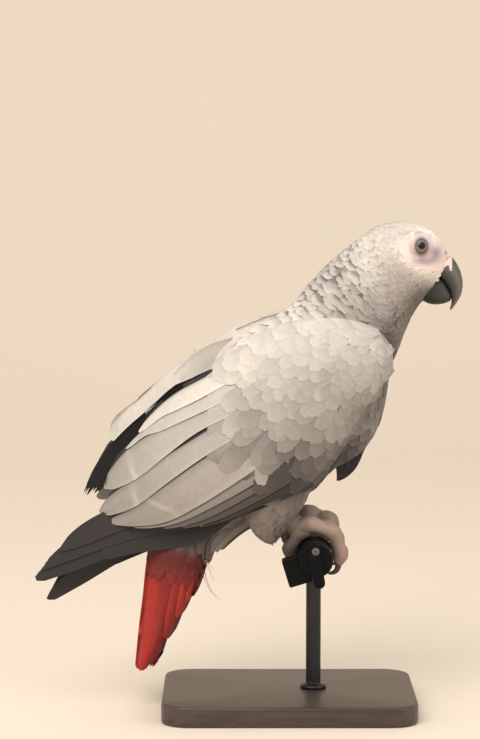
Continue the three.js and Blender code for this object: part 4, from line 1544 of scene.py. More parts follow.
class Coat(Vanes):
    """Small feathers in rows over a surface."""

    def shape(self, length, half, round_tip, ragged, root, narrow):
        """Distances along and across the vane, for each feather and pattern point."""
        p = self.pattern
        jitter = self.rng.normal(0, 1, (len(length), p.cols + 1))[:, p.column] * ragged
        ends = 1 - round_tip * np.abs(p.s) ** 2.4 + jitter
        along = length[:, None] * p.t * (1 + (ends - 1) * p.t)
        swell = root + (1 - root) * np.sin(math.pi / 2 * np.minimum(p.t / 0.62, 1))
        swell = swell * (1 - narrow * smooth(p.t, 0.7, 1))
        return along, half[:, None] * swell * p.s

    def lay(self, surface, u, v, length, half, tint, heading=None, tree=None, base=0.0, slope=0.05,
            lift=0.03, round_tip=0.3, ragged=0.02, root=0.7, narrow=0.0, yaw=6, stack=0.03,
            thick=0.1, roll=0.01, camber=0.02):
        """Lays feathers on a surface, down its rows or towards a heading for each root."""
        rng, p = self.rng, self.pattern
        count = len(u)
        normal = surface.read(surface.normal, u, v)
        su, sv = surface.read(surface.along, u, v), surface.read(surface.across, u, v)
        heading = su if heading is None else heading
        ahead = unit(heading - normal * (heading * normal).sum(-1, keepdims=True))
        yaw = np.radians(rng.normal(0, yaw, count))[:, None]
        cross = np.cross(normal, ahead)
        ahead, cross = (ahead * np.cos(yaw) + cross * np.sin(yaw),
                        cross * np.cos(yaw) - ahead * np.sin(yaw))
        along, across = self.shape(length, half, round_tip, ragged, root, narrow)
        if tree:
            lie, over = (unit(d[:, [0, 2]])[:, None] for d in (ahead, cross))
            flat = surface.at(u, v)[:, None, [0, 2]] + along[..., None] * lie
            flat = flat + across[..., None] * over
            side = 1 if normal[:, 1].mean() > 0 else -1
            place = dropped_on(tree, side, flat)
            facing = np.broadcast_to(unit(normal)[:, None], place.shape)
        else:
            uu, uv, vv = (su * su).sum(-1), (su * sv).sum(-1), (sv * sv).sum(-1)
            det = uu * vv - uv * uv
            to_u = lambda d: (vv * (d * su).sum(-1) - uv * (d * sv).sum(-1)) / det
            to_v = lambda d: (uu * (d * sv).sum(-1) - uv * (d * su).sum(-1)) / det
            fu = u[:, None] + along * to_u(ahead)[:, None] + across * to_u(cross)[:, None]
            fv = v[:, None] + along * to_v(ahead)[:, None] + across * to_v(cross)[:, None]
            place = surface.at(fu, fv)
            facing = unit(surface.read(surface.normal, fu, fv))
        share = along / length[:, None]
        height = base - slope * length[:, None] * (1 - share)
        height = height + lift * (1 + rng.normal(0, 0.5, count))[:, None] * share**3
        height = height - camber * half[:, None] * p.s**2
        height = height + rng.normal(0, stack, count)[:, None]
        height = height + rng.normal(0, roll, count)[:, None] * across - p.belly(thick, 0.05)
        corner = map_place(u, np.mod(v, 1))
        self.gather(place + facing * height[..., None], tint(p.s[None], share),
                    np.stack([across, along, rng.random((count, 1)) + 0 * across], -1),
                    corner[:, None] + np.stack([p.s * 0.0015, p.t * 0.003], -1))


def scaled_tint(tone, dark_base_and_shade, rim, reach):
    """Vane colours: darker towards the root over a reach, partly the feather's own dark base and
    partly painted shade under the tip of the feather above, and a paler rim at the tip.
    """
    def tint(s, t):
        root, edge = (np.asarray(value).reshape(-1, 1) for value in (dark_base_and_shade, rim))
        level = tone[:, None] * (1 - root * (1 - smooth(t, *reach)))
        return plumage(level + edge * smooth(t, 0.86, 0.97))
    return tint


def scattered_rows(surface, row, col, limits, rng, loose=0.09):
    """Roots in staggered rows down a closed surface, with the spacing of each row."""
    rows = surface.points.shape[0]
    grid_u = np.linspace(0, 1, rows)
    step = surface.step(grid_u, np.full(rows, 0.25))
    girth = np.linalg.norm(surface.across, axis=2).mean(1)
    u, found, index = limits[0], [], 0
    while u < limits[1]:
        gap = row(u)
        count = max(5, int(np.interp(u, grid_u, girth) / col(u)))
        v = (np.arange(count) + 0.5 * (index % 2) + rng.normal(0, loose, count)) / count
        jitter = rng.normal(0, loose * 1.2, count) * gap / np.interp(u, grid_u, step)
        found.append(np.stack([u + jitter, np.mod(v, 1), np.full(count, gap),
                               np.full(count, col(u))], -1))
        u += gap / np.interp(u, grid_u, step)
        index += 1
    return np.concatenate(found).T


def under_wing(points, margin):
    """True where a point lies well inside a folded wing."""
    hidden = np.zeros(len(points), bool)
    for name, side in SIDES.items():
        tree = wing_tree(name)
        for i, (x, y, z) in enumerate(points):
            if y * side < 3 or hidden[i]:
                continue
            for dx, dz in ((margin, 0), (-margin, 0), (0, margin), (0, -margin)):
                hit = from_side(tree, side, x + dx, z + dz)
                if hit is None or hit[1] * side < y * side + 1.0:
                    break
            else:
                hidden[i] = True
    return hidden


def own_draws(context, offset=0):
    """Random numbers for one part of the coat."""
    return np.random.default_rng(context.scene.parrot_stage.seed + offset)


class PARROT_OT_head_coat(bpy.types.Operator):
    """Small scalloped feathers of head and neck"""

    bl_idname = "parrot.build_head_coat"
    bl_label = "Head and neck feathers"

    def execute(self, context):
        sizes = context.scene.parrot_sizes
        material = feather_material("Head plumage", pitch=0.34, shaft=0.12, relief=0.05,
                                    rough=0.74, sheen=0.12)
        body = body_surface()
        crown, nape = sizes.crown_row / MM, sizes.nape_row / MM

        rng = own_draws(context)
        near_face = lambda p: np.clip(1 - face_gap(p) / 9.0, 0, 1)
        spacing = lambda u, v, p: (1 - 0.28 * near_face(p)) * np.interp(
            u * LAST, [0, 3, 5, 6.2], [crown * 0.9, crown, crown * 1.35, nape * 0.75])
        u, v, gap = spaced(body, spacing, 34000, rng, (0.0, 6.0 / LAST))
        keep = self.kept(body.at(u, v))
        u, v, gap = u[keep], v[keep], gap[keep]
        coat = Coat(VanePattern(4, 4), rng)
        self.lay(coat, body, u, v, gap, gap * 1.25, 3.2, 0.04)
        fit_out(coat.piece("head_feathers", material), "head_feathers")

        rng = own_draws(context, 1)
        stops = np.array([5.2, 6.4, 7.4, 8.6, 9.6]) / LAST
        row = lambda u: nape * np.interp(u, stops, [0.74, 0.9, 1, 1.2, 1.45])
        col = lambda u: row(u) * np.interp(u, stops, [1.35, 1.4, 1.42, 1.4, 1.4])
        u, v, gap, wide = scattered_rows(body, row, col, (5.4 / LAST, 0.56), rng, loose=0.12)
        coat = Coat(VanePattern(8, 7), rng)
        self.lay(coat, body, u, v, gap, wide * 1.2, 3.0, 0.05)
        fit_out(coat.piece("neck_feathers", material), "head_feathers")
        return {"FINISHED"}

    def lay(self, coat, body, u, v, gap, wide, overlap, slope):
        """Lays the feathers of head or neck: pale round the face, scalloped on the neck."""
        rng, index = coat.rng, u * LAST
        front = smooth(-backness(v), 0.0, 0.9)
        length = gap * overlap * rng.normal(1, 0.06, len(u))
        half = wide * 0.72 * rng.normal(1, 0.06, len(u))
        u0 = u - (length - gap) / body.step(u, v)
        strength = np.interp(index, [2, 3.5, 5, 6.5, 9.5], [0.0, 0.01, 0.06, 0.30, 0.40])
        strength = strength * (1 + 0.45 * front) * rng.uniform(0.6, 1.4, len(u))
        tip = body.at(u, v)
        uneven = np.interp(index, [2, 5, 8], [0.004, 0.012, 0.03])
        tone = body_tone_and_shade(u + 0.01, v) + rng.normal(0, 1, len(u)) * uneven
        pale = 0.86 + 0.13 * smooth(tip[:, 2], 282, 290)
        pale_share = 0.75 * (1 - smooth(face_gap(tip), 0.5, 4.5)) * (tip[:, 0] > 60)
        tone = tone * (1 - pale_share) + pale * pale_share
        # Painted shadow along the brow crease.
        tone = tone - 0.055 * brow_shadow(tip)
        rim = np.interp(index, [1.5, 3.5, 5, 6.5, 9.5], [0.0, 0.01, 0.03, 0.06, 0.06])
        rosy = (0.05 * (1 - smooth(index, 3.5, 6.5)))[:, None, None] * (0.0, 0.75, 1.0)
        plain = scaled_tint(tone, strength, rim, reach=(0.60, 0.76))
        coat.lay(body, u0, v, length, half, lambda s, t: plain(s, t) * (1 - rosy), slope=slope,
                 ragged=0.022, round_tip=0.2, yaw=np.interp(index, [4, 7], [5, 11]), stack=0.04,
                 thick=0.08, roll=0.008, camber=0.015)

    def kept(self, tip):
        """True for feathers whose tip is clear of the naked face and the bill."""
        x, y, z = tip.T
        bill = (x > 83.0) & (z < 263.5) & (np.abs(y) < 9)
        return (face_gap(tip) > 0.3) & ~bill & (x < 90.0)


class PARROT_OT_body_coat(bpy.types.Operator):
    """Soft contour feathers of back, breast, belly and vent"""

    bl_idname = "parrot.build_body_coat"
    bl_label = "Body feathers"

    def execute(self, context):
        rng = own_draws(context, 40)
        material = feather_material("Body plumage", pitch=0.45, shaft=0.2, relief=0.1,
                                    rough=0.76, sheen=0.12)
        body, gap = body_surface(), context.scene.parrot_sizes.body_row / MM
        stops = np.array([9, 10.5, 12, 17]) / LAST
        row = lambda u: gap * np.interp(u, stops, [0.8, 0.95, 1, 1])
        u, v, gaps, wide = scattered_rows(body, row, lambda u: row(u) * 1.35, (0.545, 0.97), rng)
        tip = body.at(u, v)
        x, _, z = tip.T
        keep = ((x > 40) | ~under_wing(tip, 9.0)) & ((x > -58) | (z > 116))
        u, v, gaps, wide = (values[keep] for values in (u, v, gaps, wide))
        coat = Coat(VanePattern(10, 9), rng)
        u0 = u - gaps * 1.5 / body.step(u, v)
        length = gaps * 3.0 * rng.normal(1, 0.08, len(u))
        half = wide * 0.74 * rng.normal(1, 0.06, len(u))
        tone = body_tone_and_shade(u + 0.01, v) + rng.normal(0, 0.016, len(u))
        front = smooth(-backness(v), -0.3, 0.7)
        tint = scaled_tint(tone, 0.13 + 0.05 * front, 0.03 + 0.02 * front, reach=(0.5, 0.84))
        coat.lay(body, u0, v, length, half, tint, lift=0.06, ragged=0.016, round_tip=0.28,
                 thick=0.14, roll=0.015)
        fit_out(coat.piece("body_feathers", material), "body_feathers")
        return {"FINISHED"}


class PARROT_OT_thigh_coat(bpy.types.Operator):
    """Short loose feathers of the thighs"""

    bl_idname = "parrot.build_thigh_coat"
    bl_label = "Thigh feathers"

    def execute(self, context):
        gap = context.scene.parrot_sizes.thigh_row / MM
        material = feather_material("Thigh plumage", pitch=0.4, shaft=0.16, relief=0.09,
                                    rough=0.8, sheen=0.15)
        for name in SIDES:
            rng = own_draws(context, len(name))
            surface = thigh_surface(name)
            u, v, gaps, wide = scattered_rows(surface, lambda u: gap, lambda u: gap * 1.3,
                                              (0.12, 0.93), rng)
            coat = Coat(VanePattern(8, 7), rng)
            tone = 0.435 + 0.03 * backness(v) + rng.normal(0, 0.012, len(u))
            grey = scaled_tint(tone, 0.05, 0.015, reach=(0.4, 0.8))
            warm = lambda s, t: grey(s, t) * (1.04, 0.97, 0.9)
            shrink = np.interp(u, [0, 0.75, 1], [1, 0.75, 0.42])
            length = gaps * 3.4 * rng.normal(1, 0.1, len(u)) * shrink
            coat.lay(surface, u - 0.1, v, length, wide * 0.8 * shrink, warm, slope=0.06,
                     lift=0.04, ragged=0.03, yaw=7, narrow=0.1)
            fit_out(coat.piece(f"thigh_{name}_feathers", material), "thigh_feathers")
        return {"FINISHED"}


# Which way the wing's coverts point, as x, z and the direction in degrees in the side view.
COVERT_LIE = [
    (52, 215, 222), (30, 232, 198), (0, 228, 200), (-30, 212, 207), (-70, 178, 214),
    (-100, 150, 218), (40, 190, 236), (15, 165, 241), (-22, 158, 238), (-60, 148, 217),
    (-50, 125, 210), (-15, 134, 218), (5, 200, 215), (-30, 185, 215), (0, 180, 228),
]


def near_marks(flat, marks, ease, fall):
    """Weights of the marks at x, z points, larger where they are near, and their values."""
    marks = np.array(marks, float)
    gap = np.hypot(flat[:, None, 0] - marks[:, 0], flat[:, None, 1] - marks[:, 1]) + ease
    return gap**-fall, marks[:, 2]


def covert_heading(flat):
    """The lie of the wing's feathers at x, z points, blended between its set directions."""
    weight, degrees = near_marks(flat, COVERT_LIE, 4, 2.6)
    angle = np.radians(degrees)
    return unit(np.stack([(weight * np.cos(angle)).sum(1), (weight * np.sin(angle)).sum(1)], -1))


# Tones over the folded wing, as x, z and tone. Towards the lower edge they are darker partly as
# painted shade, near black where a painted shadow lies between the coverts and the flight
# feathers.
WING_TONES_AND_SHADE = [
    (50, 226, .72), (30, 224, .74), (57, 212, .62), (0, 224, .77), (-30, 214, .81),
    (-10, 205, .72), (-8, 186, .66), (-18, 177, .585), (15, 191, .64), (32, 203, .62),
    (46, 200, .62), (5, 168, .62), (-17, 153, .64), (-12, 145, .32), (25, 177, .59),
    (8, 160, .43), (3, 149, .20), (-35, 152, .58), (-40, 171, .65), (-45, 192, .78),
    (17, 152, .35), (-25, 141, .32), (-43, 143, .46), (2, 156, .34), (36, 184, .50),
    (28, 164, .42), (-11, 141, .08), (8, 140, .20), (42, 186, .45), (15, 236, .79),
    (-6, 231, .80), (28, 239, .79), (-18, 225, .82), (40, 236, .77),
]


def wing_tone_and_shade(flat):
    """Tone of a folded wing: pale above, darker towards its lower edge partly as painted shade."""
    weight, tones = near_marks(flat, WING_TONES_AND_SHADE, 3, 3.2)
    return (weight * tones).sum(1) / weight.sum(1)


def spaced(surface, spacing, tries, rng, limits=(0.0, 1.0)):
    """Places on a surface that keep their distance, in grid units, with their spacing."""
    u, v = limits[0] + (limits[1] - limits[0]) * rng.random(tries), rng.random(tries)
    area = np.linalg.norm(np.cross(surface.read(surface.along, u, v),
                                   surface.read(surface.across, u, v)), axis=1)
    likely = rng.random(tries) < area / area.max()
    u, v = u[likely], v[likely]
    points = surface.at(u, v)
    gap = spacing(u, v, points)
    cell, taken, kept = float(gap.max()), {}, []
    around = [(a, b, c) for a in (-1, 0, 1) for b in (-1, 0, 1) for c in (-1, 0, 1)]
    for i, ((x, y, z), g) in enumerate(zip(points.tolist(), gap.tolist())):
        ka, kb, kc = int(x // cell), int(y // cell), int(z // cell)
        near = (other for a, b, c in around for other in taken.get((ka + a, kb + b, kc + c), ()))
        if not any((qx - x) ** 2 + (qy - y) ** 2 + (qz - z) ** 2 < (0.5 * (g + qg)) ** 2
                   for qx, qy, qz, qg in near):
            taken.setdefault((ka, kb, kc), []).append((x, y, z, g))
            kept.append(i)
    return u[kept], v[kept], gap[kept]


# Where the coverts' tips end on the wing: heights z of the rear border with its x, then x of
# the lower border with its z.
COVERT_END = ((136, 139, 143, 156, 170, 188, 205, 228), (-4, -30, -42, -50, -49, -42, -50, -62))
COVERT_EDGE = ((-50, -30, -10, 2, 12), (143, 139, 135.5, 129, 133))


class PARROT_OT_wing_coverts(bpy.types.Operator):
    """Rows of coverts over both folded wings"""

    bl_idname = "parrot.build_wing_coverts"
    bl_label = "Wing coverts"

    def execute(self, context):
        material = feather_material("Wing plumage", pitch=0.5, shaft=0.2, relief=0.08,
                                    rough=0.72, sheen=0.1)
        for name in SIDES:
            rng = own_draws(context, 90)
            coat = self.coverts(context.scene.parrot_sizes, name, rng)
            fit_out(coat.piece(f"wing_{name}_coverts", material), "wing_feathers")
            down = self.down(name, rng)
            fit_out(down.piece(f"wing_{name}_down", material), "wing_feathers")
        return {"FINISHED"}

    def home(self, points, name):
        """Where points of a wing lie as x, z on the right one."""
        degrees, back = WING_POSE[name]
        return turned(points[:, [0, 2]] + (back, 0), WING_PIVOT, -degrees)

    def coverts(self, sizes, name, rng):
        small, large = sizes.covert_small / MM, sizes.covert_large / MM
        wing, side, tree = wing_surface(name), SIDES[name], wing_tree(name)
        spacing = lambda u, v, p: np.interp(
            np.hypot(*(self.home(p, name) - (56, 226)).T), [0, 20, 45, 75, 108],
            [small * 0.85, small * 0.9, small * 1.4, large * 0.68, large])
        u, v, gap = spaced(wing, spacing, 22000, rng)
        flat = self.home(wing.at(u, v), name)
        heading = covert_heading(flat)
        stretch = smooth(gap, small, large)
        length = gap * (3.1 + 0.9 * stretch) * rng.normal(1, 0.06, len(u))
        tip = flat + heading * length[:, None] * 0.95
        outward = wing.read(wing.normal, u, v)[:, 1] * side
        keep = (tip[:, 0] > np.interp(tip[:, 1], *COVERT_END)) & (outward > 0.06)
        keep &= tip[:, 1] > np.interp(tip[:, 0], *COVERT_EDGE)
        aim = turned(heading + WING_PIVOT, WING_PIVOT, WING_POSE[name][0]) - WING_PIVOT
        end = wing.at(u, v)[:, [0, 2]] + aim * length[:, None] + (0.0, 2.0)
        rest = dropped_on(tree, side, end)[:, [0, 2]]
        over = np.linalg.norm(end - rest, axis=1) * (end[:, 1] > rest[:, 1])
        keep &= (over < 0.1) | (flat[:, 0] > 30)
        u, v, gap, flat, length, heading, aim, stretch = (
            values[keep] for values in (u, v, gap, flat, length, heading, aim, stretch))
        coat = Coat(VanePattern(10, 8), rng)
        bend = smooth(flat[:, 0], 51, 58)
        tone = wing_tone_and_shade(flat + heading * length[:, None] * 0.7)
        tone = tone + rng.normal(0, 0.012, len(u))
        root = 0.01 + 0.05 * rng.random(len(u)) ** 2 + 0.09 * stretch
        tint = scaled_tint(tone, root, 0.012 + 0.02 * rng.random(len(u)), reach=(0.45, 0.9))
        half = gap * (0.98 - 0.2 * stretch) * rng.normal(1, 0.06, len(u))
        coat.lay(wing, u, v, length, half, tint, np.stack([aim[:, 0], 0 * u, aim[:, 1]], -1),
                 tree, base=0.22, slope=(0.026 + 0.06 * bend)[:, None], lift=0.0,
                 ragged=(0.026 - 0.014 * stretch)[:, None], round_tip=0.24, stack=0.015,
                 roll=0.006, camber=0.015)
        return coat

    def down(self, name, rng):
        """One soft sheet under the coverts, so that no skin shows between them."""
        down, wing = Vanes(VanePattern(36, 44), rng), wing_surface(name)
        s, t = down.pattern.s, down.pattern.t
        v = 0.5 + 0.46 * s
        u = 0.02 + t * np.interp(v, [0, 0.5, 0.8, 1], [0.50, 0.57, 0.52, 0.42])
        place = wing.at(u, v)
        depth = np.where(down.pattern.under, 0.9, 0.6)[:, None]
        # A little darker than the wing's tone, as painted shade under the coverts.
        down.gather(place - unit(wing.read(wing.normal, u, v)) * depth,
                    plumage(wing_tone_and_shade(self.home(place, name)) - 0.04),
                    np.stack([s * 20, t * 100, 0 * t], -1), map_place(u, v))
        return down


class Quills(Vanes):
    """Long flight or tail feathers, each with its own map patch."""

    def __init__(self, rng, cells=(12, 30), columns=6):
        super().__init__(VanePattern(*cells), rng)
        self.columns = columns

    def add(self, side, top, bottom, drop, tint, hidden=0.4, blunt=0.12, ragged=0.004,
            gap=(0.4, 1.2), tilt=1.0, thick=0.34, skew=0.5, back=0.14):
        """One feather between two lines of x, z points. Its shaft runs along the top line, its
        free edge along the bottom one, and a hidden inner vane lies above the top line. drop
        gives the distance from the mid plane, and back the tone of the under face."""
        p, rng = self.pattern, self.rng
        w = (p.s + 1) / 2 * (1 + hidden) - hidden
        jitter = rng.normal(0, 1, p.cols + 1)[p.column] * ragged
        ends = 1 - blunt * np.abs((w - skew) / 0.6) ** 2.2 + jitter
        t = np.clip(p.t * (1 + (ends - 1) * p.t**3), 0, 1)
        a, b = through(top, t), through(bottom, t)
        width = np.maximum(np.linalg.norm(b - a, axis=1), 1e-3)[:, None]
        inset = gap[0] + (gap[1] - gap[0]) * smooth(t, 0.55, 1)[:, None]
        b = b - (b - a) / width * np.minimum(inset, width * 0.4)
        reach = np.where(w[:, None] < 0, np.minimum(width, 9.0), width)
        flat = a + (b - a) / width * reach * w[:, None]
        y = drop(flat) - tilt * (1 - w) + 0.35 * (1 - (2 * w - 1) ** 2).clip(0)
        y = side * (y - p.belly(thick, 0.04))
        length_mm = path_length(through(top, np.linspace(0, 1, 41)))
        tints = tint(w, t)
        if back is not None:
            tints = np.where(p.under[:, None], plumage(back), tints)
        places = np.stack([(w - 0.07) * reach[:, 0], t * length_mm, 0 * t + rng.random()], -1)
        row, column = divmod(len(self.points), self.columns)
        patch = np.stack([column + 0.5 + 0.42 * p.s, row + 0.06 + 0.88 * p.t], -1)
        self.gather(np.stack([flat[:, 0], y, flat[:, 1]], -1), tints, places,
                    patch / self.columns)


def flight_tint(root, end, inner, bar=None, edge=0.04):
    """An outer vane from a root tone to an end tone with a pale bar, and a dark inner vane."""
    def tint(w, t):
        level = root + (end - root) * smooth(t, 0.2, 0.95)
        level = level + edge * smooth(w, 0.8, 0.97) - 0.05 * (1 - smooth(w, 0.02, 0.3))
        if bar:
            level = level + bar[1] * bell(t - bar[0] - 0.03 * w, 0.014)
        dark = 1 - smooth(w, -0.03, 0.03)
        return plumage(level * (1 - dark) + inner * dark)
    return tint


# Lines between the folded flight feathers of the right wing, as x, z from root to tip.
FLIGHT_LINES = [
    [(-30, 214), (-53.4, 200.4), (-68.4, 191.4), (-80, 181.6), (-89.8, 170.5)],
    [(-30, 204), (-52.4, 190.4), (-66, 183), (-76.4, 177.4), (-88, 167.5)],
    [(-34, 192), (-56.4, 180.4), (-76.4, 170.4), (-86.4, 166.4), (-97, 157.2)],
    [(-34, 182), (-54.4, 170.9), (-74.4, 155.2), (-91.4, 140.9), (-108, 131.6)],
    [(-30, 170), (-51.4, 156.4), (-74.4, 138.9), (-92.4, 124.4), (-111.0, 116.0)],
    [(-8, 160), (-34, 141), (-54, 127.6), (-74.4, 116.4), (-99, 112.2)],
    [(0, 155.6), (-28, 137.6), (-46, 127.2), (-62.6, 118.4), (-79, 112.6)],
    [(6, 153), (-19, 137.4), (-36.6, 126.8), (-51, 119.2), (-67, 113.4)],
    [(12, 151), (-11, 136), (-27, 127.0), (-41, 120), (-56, 114.4)],
    [(18, 150), (-2, 135.2), (-17, 127.6), (-30, 121.8), (-45, 116.2)],
    [(24, 152.4), (6, 136.4), (-8, 129.8), (-21, 124.4), (-36, 118.4)],
]
# The upper line of each feather where it differs at the tip from the line above it.
FLIGHT_TOPS = {
    1: [(-30, 214), (-53.4, 200.4), (-68.4, 191.4), (-80, 181.6), (-91.0, 169.6)],
    2: [(-30, 204), (-52.4, 190.4), (-68.4, 182.4), (-83.4, 173.4), (-98.2, 159.6)],
    3: [(-34, 192), (-58.4, 179.4), (-80.4, 169.4), (-98.4, 156.4), (-113.0, 137.0)],
    4: [(-34, 182), (-58.4, 165.9), (-80.4, 151.2), (-98, 138.2), (-115.0, 123.5)],
    5: [(-30, 170), (-55.4, 152.8), (-77.4, 136.4), (-94.4, 124.0), (-110, 115.4)],
}
# Tones of each feather at its root and end, and the place and strength of its pale bar. The lowest
# feathers are darker partly as painted shade along the wing's lower edge.
FLIGHT_TONES = [
    (0.83, 0.78, None), (0.75, 0.70, None), (0.68, 0.60, (0.72, 0.11)),
    (0.64, 0.56, (0.69, 0.10)), (0.61, 0.55, (0.60, 0.08)), (0.50, 0.49, None),
    (0.36, 0.37, None), (0.27, 0.27, None), (0.22, 0.20, None), (0.22, 0.15, None),
]
# Primaries of the right wing: upper line, lower line, tone.
PRIMARIES = [
    ([(-62, 133), (-88, 127), (-108, 121), (-124, 112), (-138.6, 99.2)],
     [(-62, 118), (-88, 114), (-106, 108), (-122, 101), (-137.4, 95.6)], 0.175),
    ([(-60, 127), (-90, 120), (-114, 111), (-134, 100), (-149.6, 86.4)],
     [(-60, 112), (-88, 106.5), (-110, 99.5), (-130, 91.5), (-147.6, 84.4)], 0.155),
    ([(-60, 120), (-88, 112), (-113, 103), (-136, 92.6), (-155.0, 80.6)],
     [(-60, 106), (-84, 101.5), (-106, 94.0), (-130, 84.2), (-150.4, 76.6)], 0.14),
    ([(-26, 126.4), (-40, 119.4), (-56, 114), (-74, 111), (-92, 106), (-116, 98.4)],
     [(-26, 124.6), (-37, 115.6), (-51, 104.8), (-68, 100.0), (-88, 97.2), (-112, 91.4)], 0.13),
]
# How far the primaries lie from the mid plane, by x.
PRIMARY_DEPTH = ((-155, -139, -112, -88, -60, -48, -38), (4.4, 7.2, 12, 15, 17.4, 21, 25))
# Feathers on the inner face of the left wing, seen over the back: upper line, lower line,
# tones of root and end.
INNER_VANES = [
    ([(-37, 214.4), (-52, 206), (-74, 191), (-94, 174), (-110, 156), (-126.2, 129)],
     [(-34, 212), (-46, 201.6), (-66, 185), (-86, 168), (-103, 149), (-119.6, 129)], 0.05, 0.04),
    ([(-50, 203), (-72, 189), (-92, 171), (-107, 153), (-121.2, 131)],
     [(-46, 199), (-65, 182.6), (-83, 165), (-99, 146), (-114.6, 129.4)], 0.045, 0.035),
    ([(10, 243), (-8, 238.6), (-21, 234.4), (-36, 228), (-50, 219.6)],
     [(0, 225), (-14, 220), (-28, 214), (-42, 208), (-53, 203)], 0.86, 0.86),
    # This feather's root is darker as painted shade.
    ([(-34, 223), (-47, 219), (-58, 212.6), (-66, 205.2), (-71, 199.6)],
     [(-38, 208), (-50, 203.6), (-58.4, 199.8), (-66, 196.6), (-71, 194.4)], 0.74, 0.84),
    ([(-56, 216), (-67, 207.6), (-77, 199.2), (-86, 191.3), (-93, 185.2)],
     [(-58, 199.8), (-66.4, 196.8), (-74, 191.2), (-81, 184.6), (-88, 178.4)], 0.84, 0.82),
    ([(-78, 197.4), (-88, 188.6), (-97, 182.0), (-104.5, 175.6), (-109, 167)],
     [(-80, 186), (-88, 178.4), (-95, 172.4), (-101, 166.6), (-107, 160)], 0.83, 0.76),
]


def inner_side(tree, flat, rank):
    """Distances of the inner face of the left wing, which leans out towards its upper edge."""
    x, z = flat[:, 0], flat[:, 1]
    level = np.interp(x, [-126, -105, -84, -62, -50, -34, -10], [4, 5, 6.5, 9, 11, 15, 18])
    foot = np.interp(x, [-126, -107, -83, -66, -52, -38, -10], [128, 159, 181, 196, 203, 208, 220])
    lean = 0.25 * (z - foot).clip(0) if rank > 1 else 2.2 + 0.3 * rank
    return np.minimum(level + lean, drape_on(tree, 1, flat - (0, 6)) - 1.4)


class PARROT_OT_flight_feathers(bpy.types.Operator):
    """Secondaries, tertials and primaries of both wings"""

    bl_idname = "parrot.build_flight_feathers"
    bl_label = "Flight feathers"

    def execute(self, context):
        material = feather_material("Flight plumage", pitch=0.62, shaft=0.45, relief=0.07,
                                    rough=0.62, sheen=0.05, pale_shaft=0.06)
        for name, side in SIDES.items():
            rng = own_draws(context, 7)
            self.secondaries(name, side, rng, material)
            self.primaries(name, side, rng, material)
        return {"FINISHED"}

    def secondaries(self, name, side, rng, material):
        degrees, back = WING_POSE[name]
        tree = wing_tree(name)
        quills = Quills(rng, columns=5)
        for k, (root, end, bar) in enumerate(FLIGHT_TONES):
            shift = back * (1 - smooth(k, 1.0, 3.0))
            top = turned(FLIGHT_TOPS.get(k + 1, FLIGHT_LINES[k]), WING_PIVOT, degrees, shift)
            bottom = turned(FLIGHT_LINES[k + 1], WING_PIVOT, degrees, shift)
            dip = 5 if name == "left" and k == 0 else 0
            drop = lambda flat: drape_on(tree, side, flat - (0, dip)) - 0.25
            # The near-black inner vanes show in the gaps between the feathers, partly as painted
            # shade.
            quills.add(side, top, bottom, drop, flight_tint(root, end, 0.09, bar), hidden=0.3,
                       blunt=0.1 if k < 5 else 0.14, gap=(0.5, 1.5 if k in (2, 3) else 0.9),
                       back=0.8 if name == "left" and k < 4 else 0.14)
        if name == "left":
            for k, (top, bottom, root, end) in enumerate(INNER_VANES):
                quills.add(side, top, bottom, lambda flat: inner_side(tree, flat, k),
                           flight_tint(root, end, root * 0.9, None, 0.02), hidden=0.1, blunt=0.1,
                           ragged=0.022 if k < 2 else 0.006, gap=(0, 0.2), tilt=0.2, back=None)
        fit_out(quills.piece(f"secondaries_{name}", material), "flight_feathers")

    def primaries(self, name, side, rng, material):
        turn = PRIMARY_POSE[name]
        quills = Quills(rng, columns=3)
        for k, (top, bottom, tone) in enumerate(PRIMARIES):
            top, bottom = (turned(line, PRIMARY_PIVOT, turn) for line in (top, bottom))
            drop = lambda flat: np.interp(flat[:, 0], *PRIMARY_DEPTH) - (0, 0.9, 1.8, 0.6)[k]
            quills.add(side, top, bottom, drop, flight_tint(tone, tone * 0.95, 0.1, None, 0.02),
                       hidden=0.15, blunt=0.07, gap=(0, 0.3), skew=0.55)
        fit_out(quills.piece(f"primaries_{name}_feathers", material), "flight_feathers",
                f"primaries_{name}")


# Brightness of each tail feather, painted light and shade that differs from feather to feather,
# then the feathers of one side from the long inner one to the short outer one: front line, rear
# line.
TAIL_LIGHT_AND_SHADE = [1.0, 0.6, 0.74, 0.98, 1.08]
RECTRICES = [
    ([(-66, 110), (-69, 90), (-74.4, 66), (-79.6, 44), (-84.4, 23.4)],
     [(-80, 112), (-85.6, 92), (-88.4, 68), (-91.4, 46), (-94.2, 22.0)]),
    ([(-60, 108), (-62.4, 90), (-67.4, 70), (-73.4, 48), (-79.6, 25.4)],
     [(-72, 110), (-76.6, 90), (-79.0, 70), (-82.2, 48), (-86.0, 25.4)]),
    ([(-55, 106), (-57.4, 90), (-61.2, 74), (-66.6, 56), (-71.6, 42.6)],
     [(-66, 108), (-69.4, 90), (-71.4, 74), (-74.6, 58), (-77, 43.6)]),
    ([(-51, 104), (-53.4, 91), (-56.4, 79), (-60.4, 67), (-64.8, 56.6)],
     [(-62, 106), (-63.8, 92), (-65.2, 80), (-67.6, 67), (-69.8, 56.4)]),
    ([(-48, 102), (-49.8, 93), (-52, 84), (-55.4, 74), (-59.8, 66.4)],
     [(-58, 104), (-58.6, 94), (-59.8, 84), (-61.8, 74), (-63.8, 66.6)]),
]

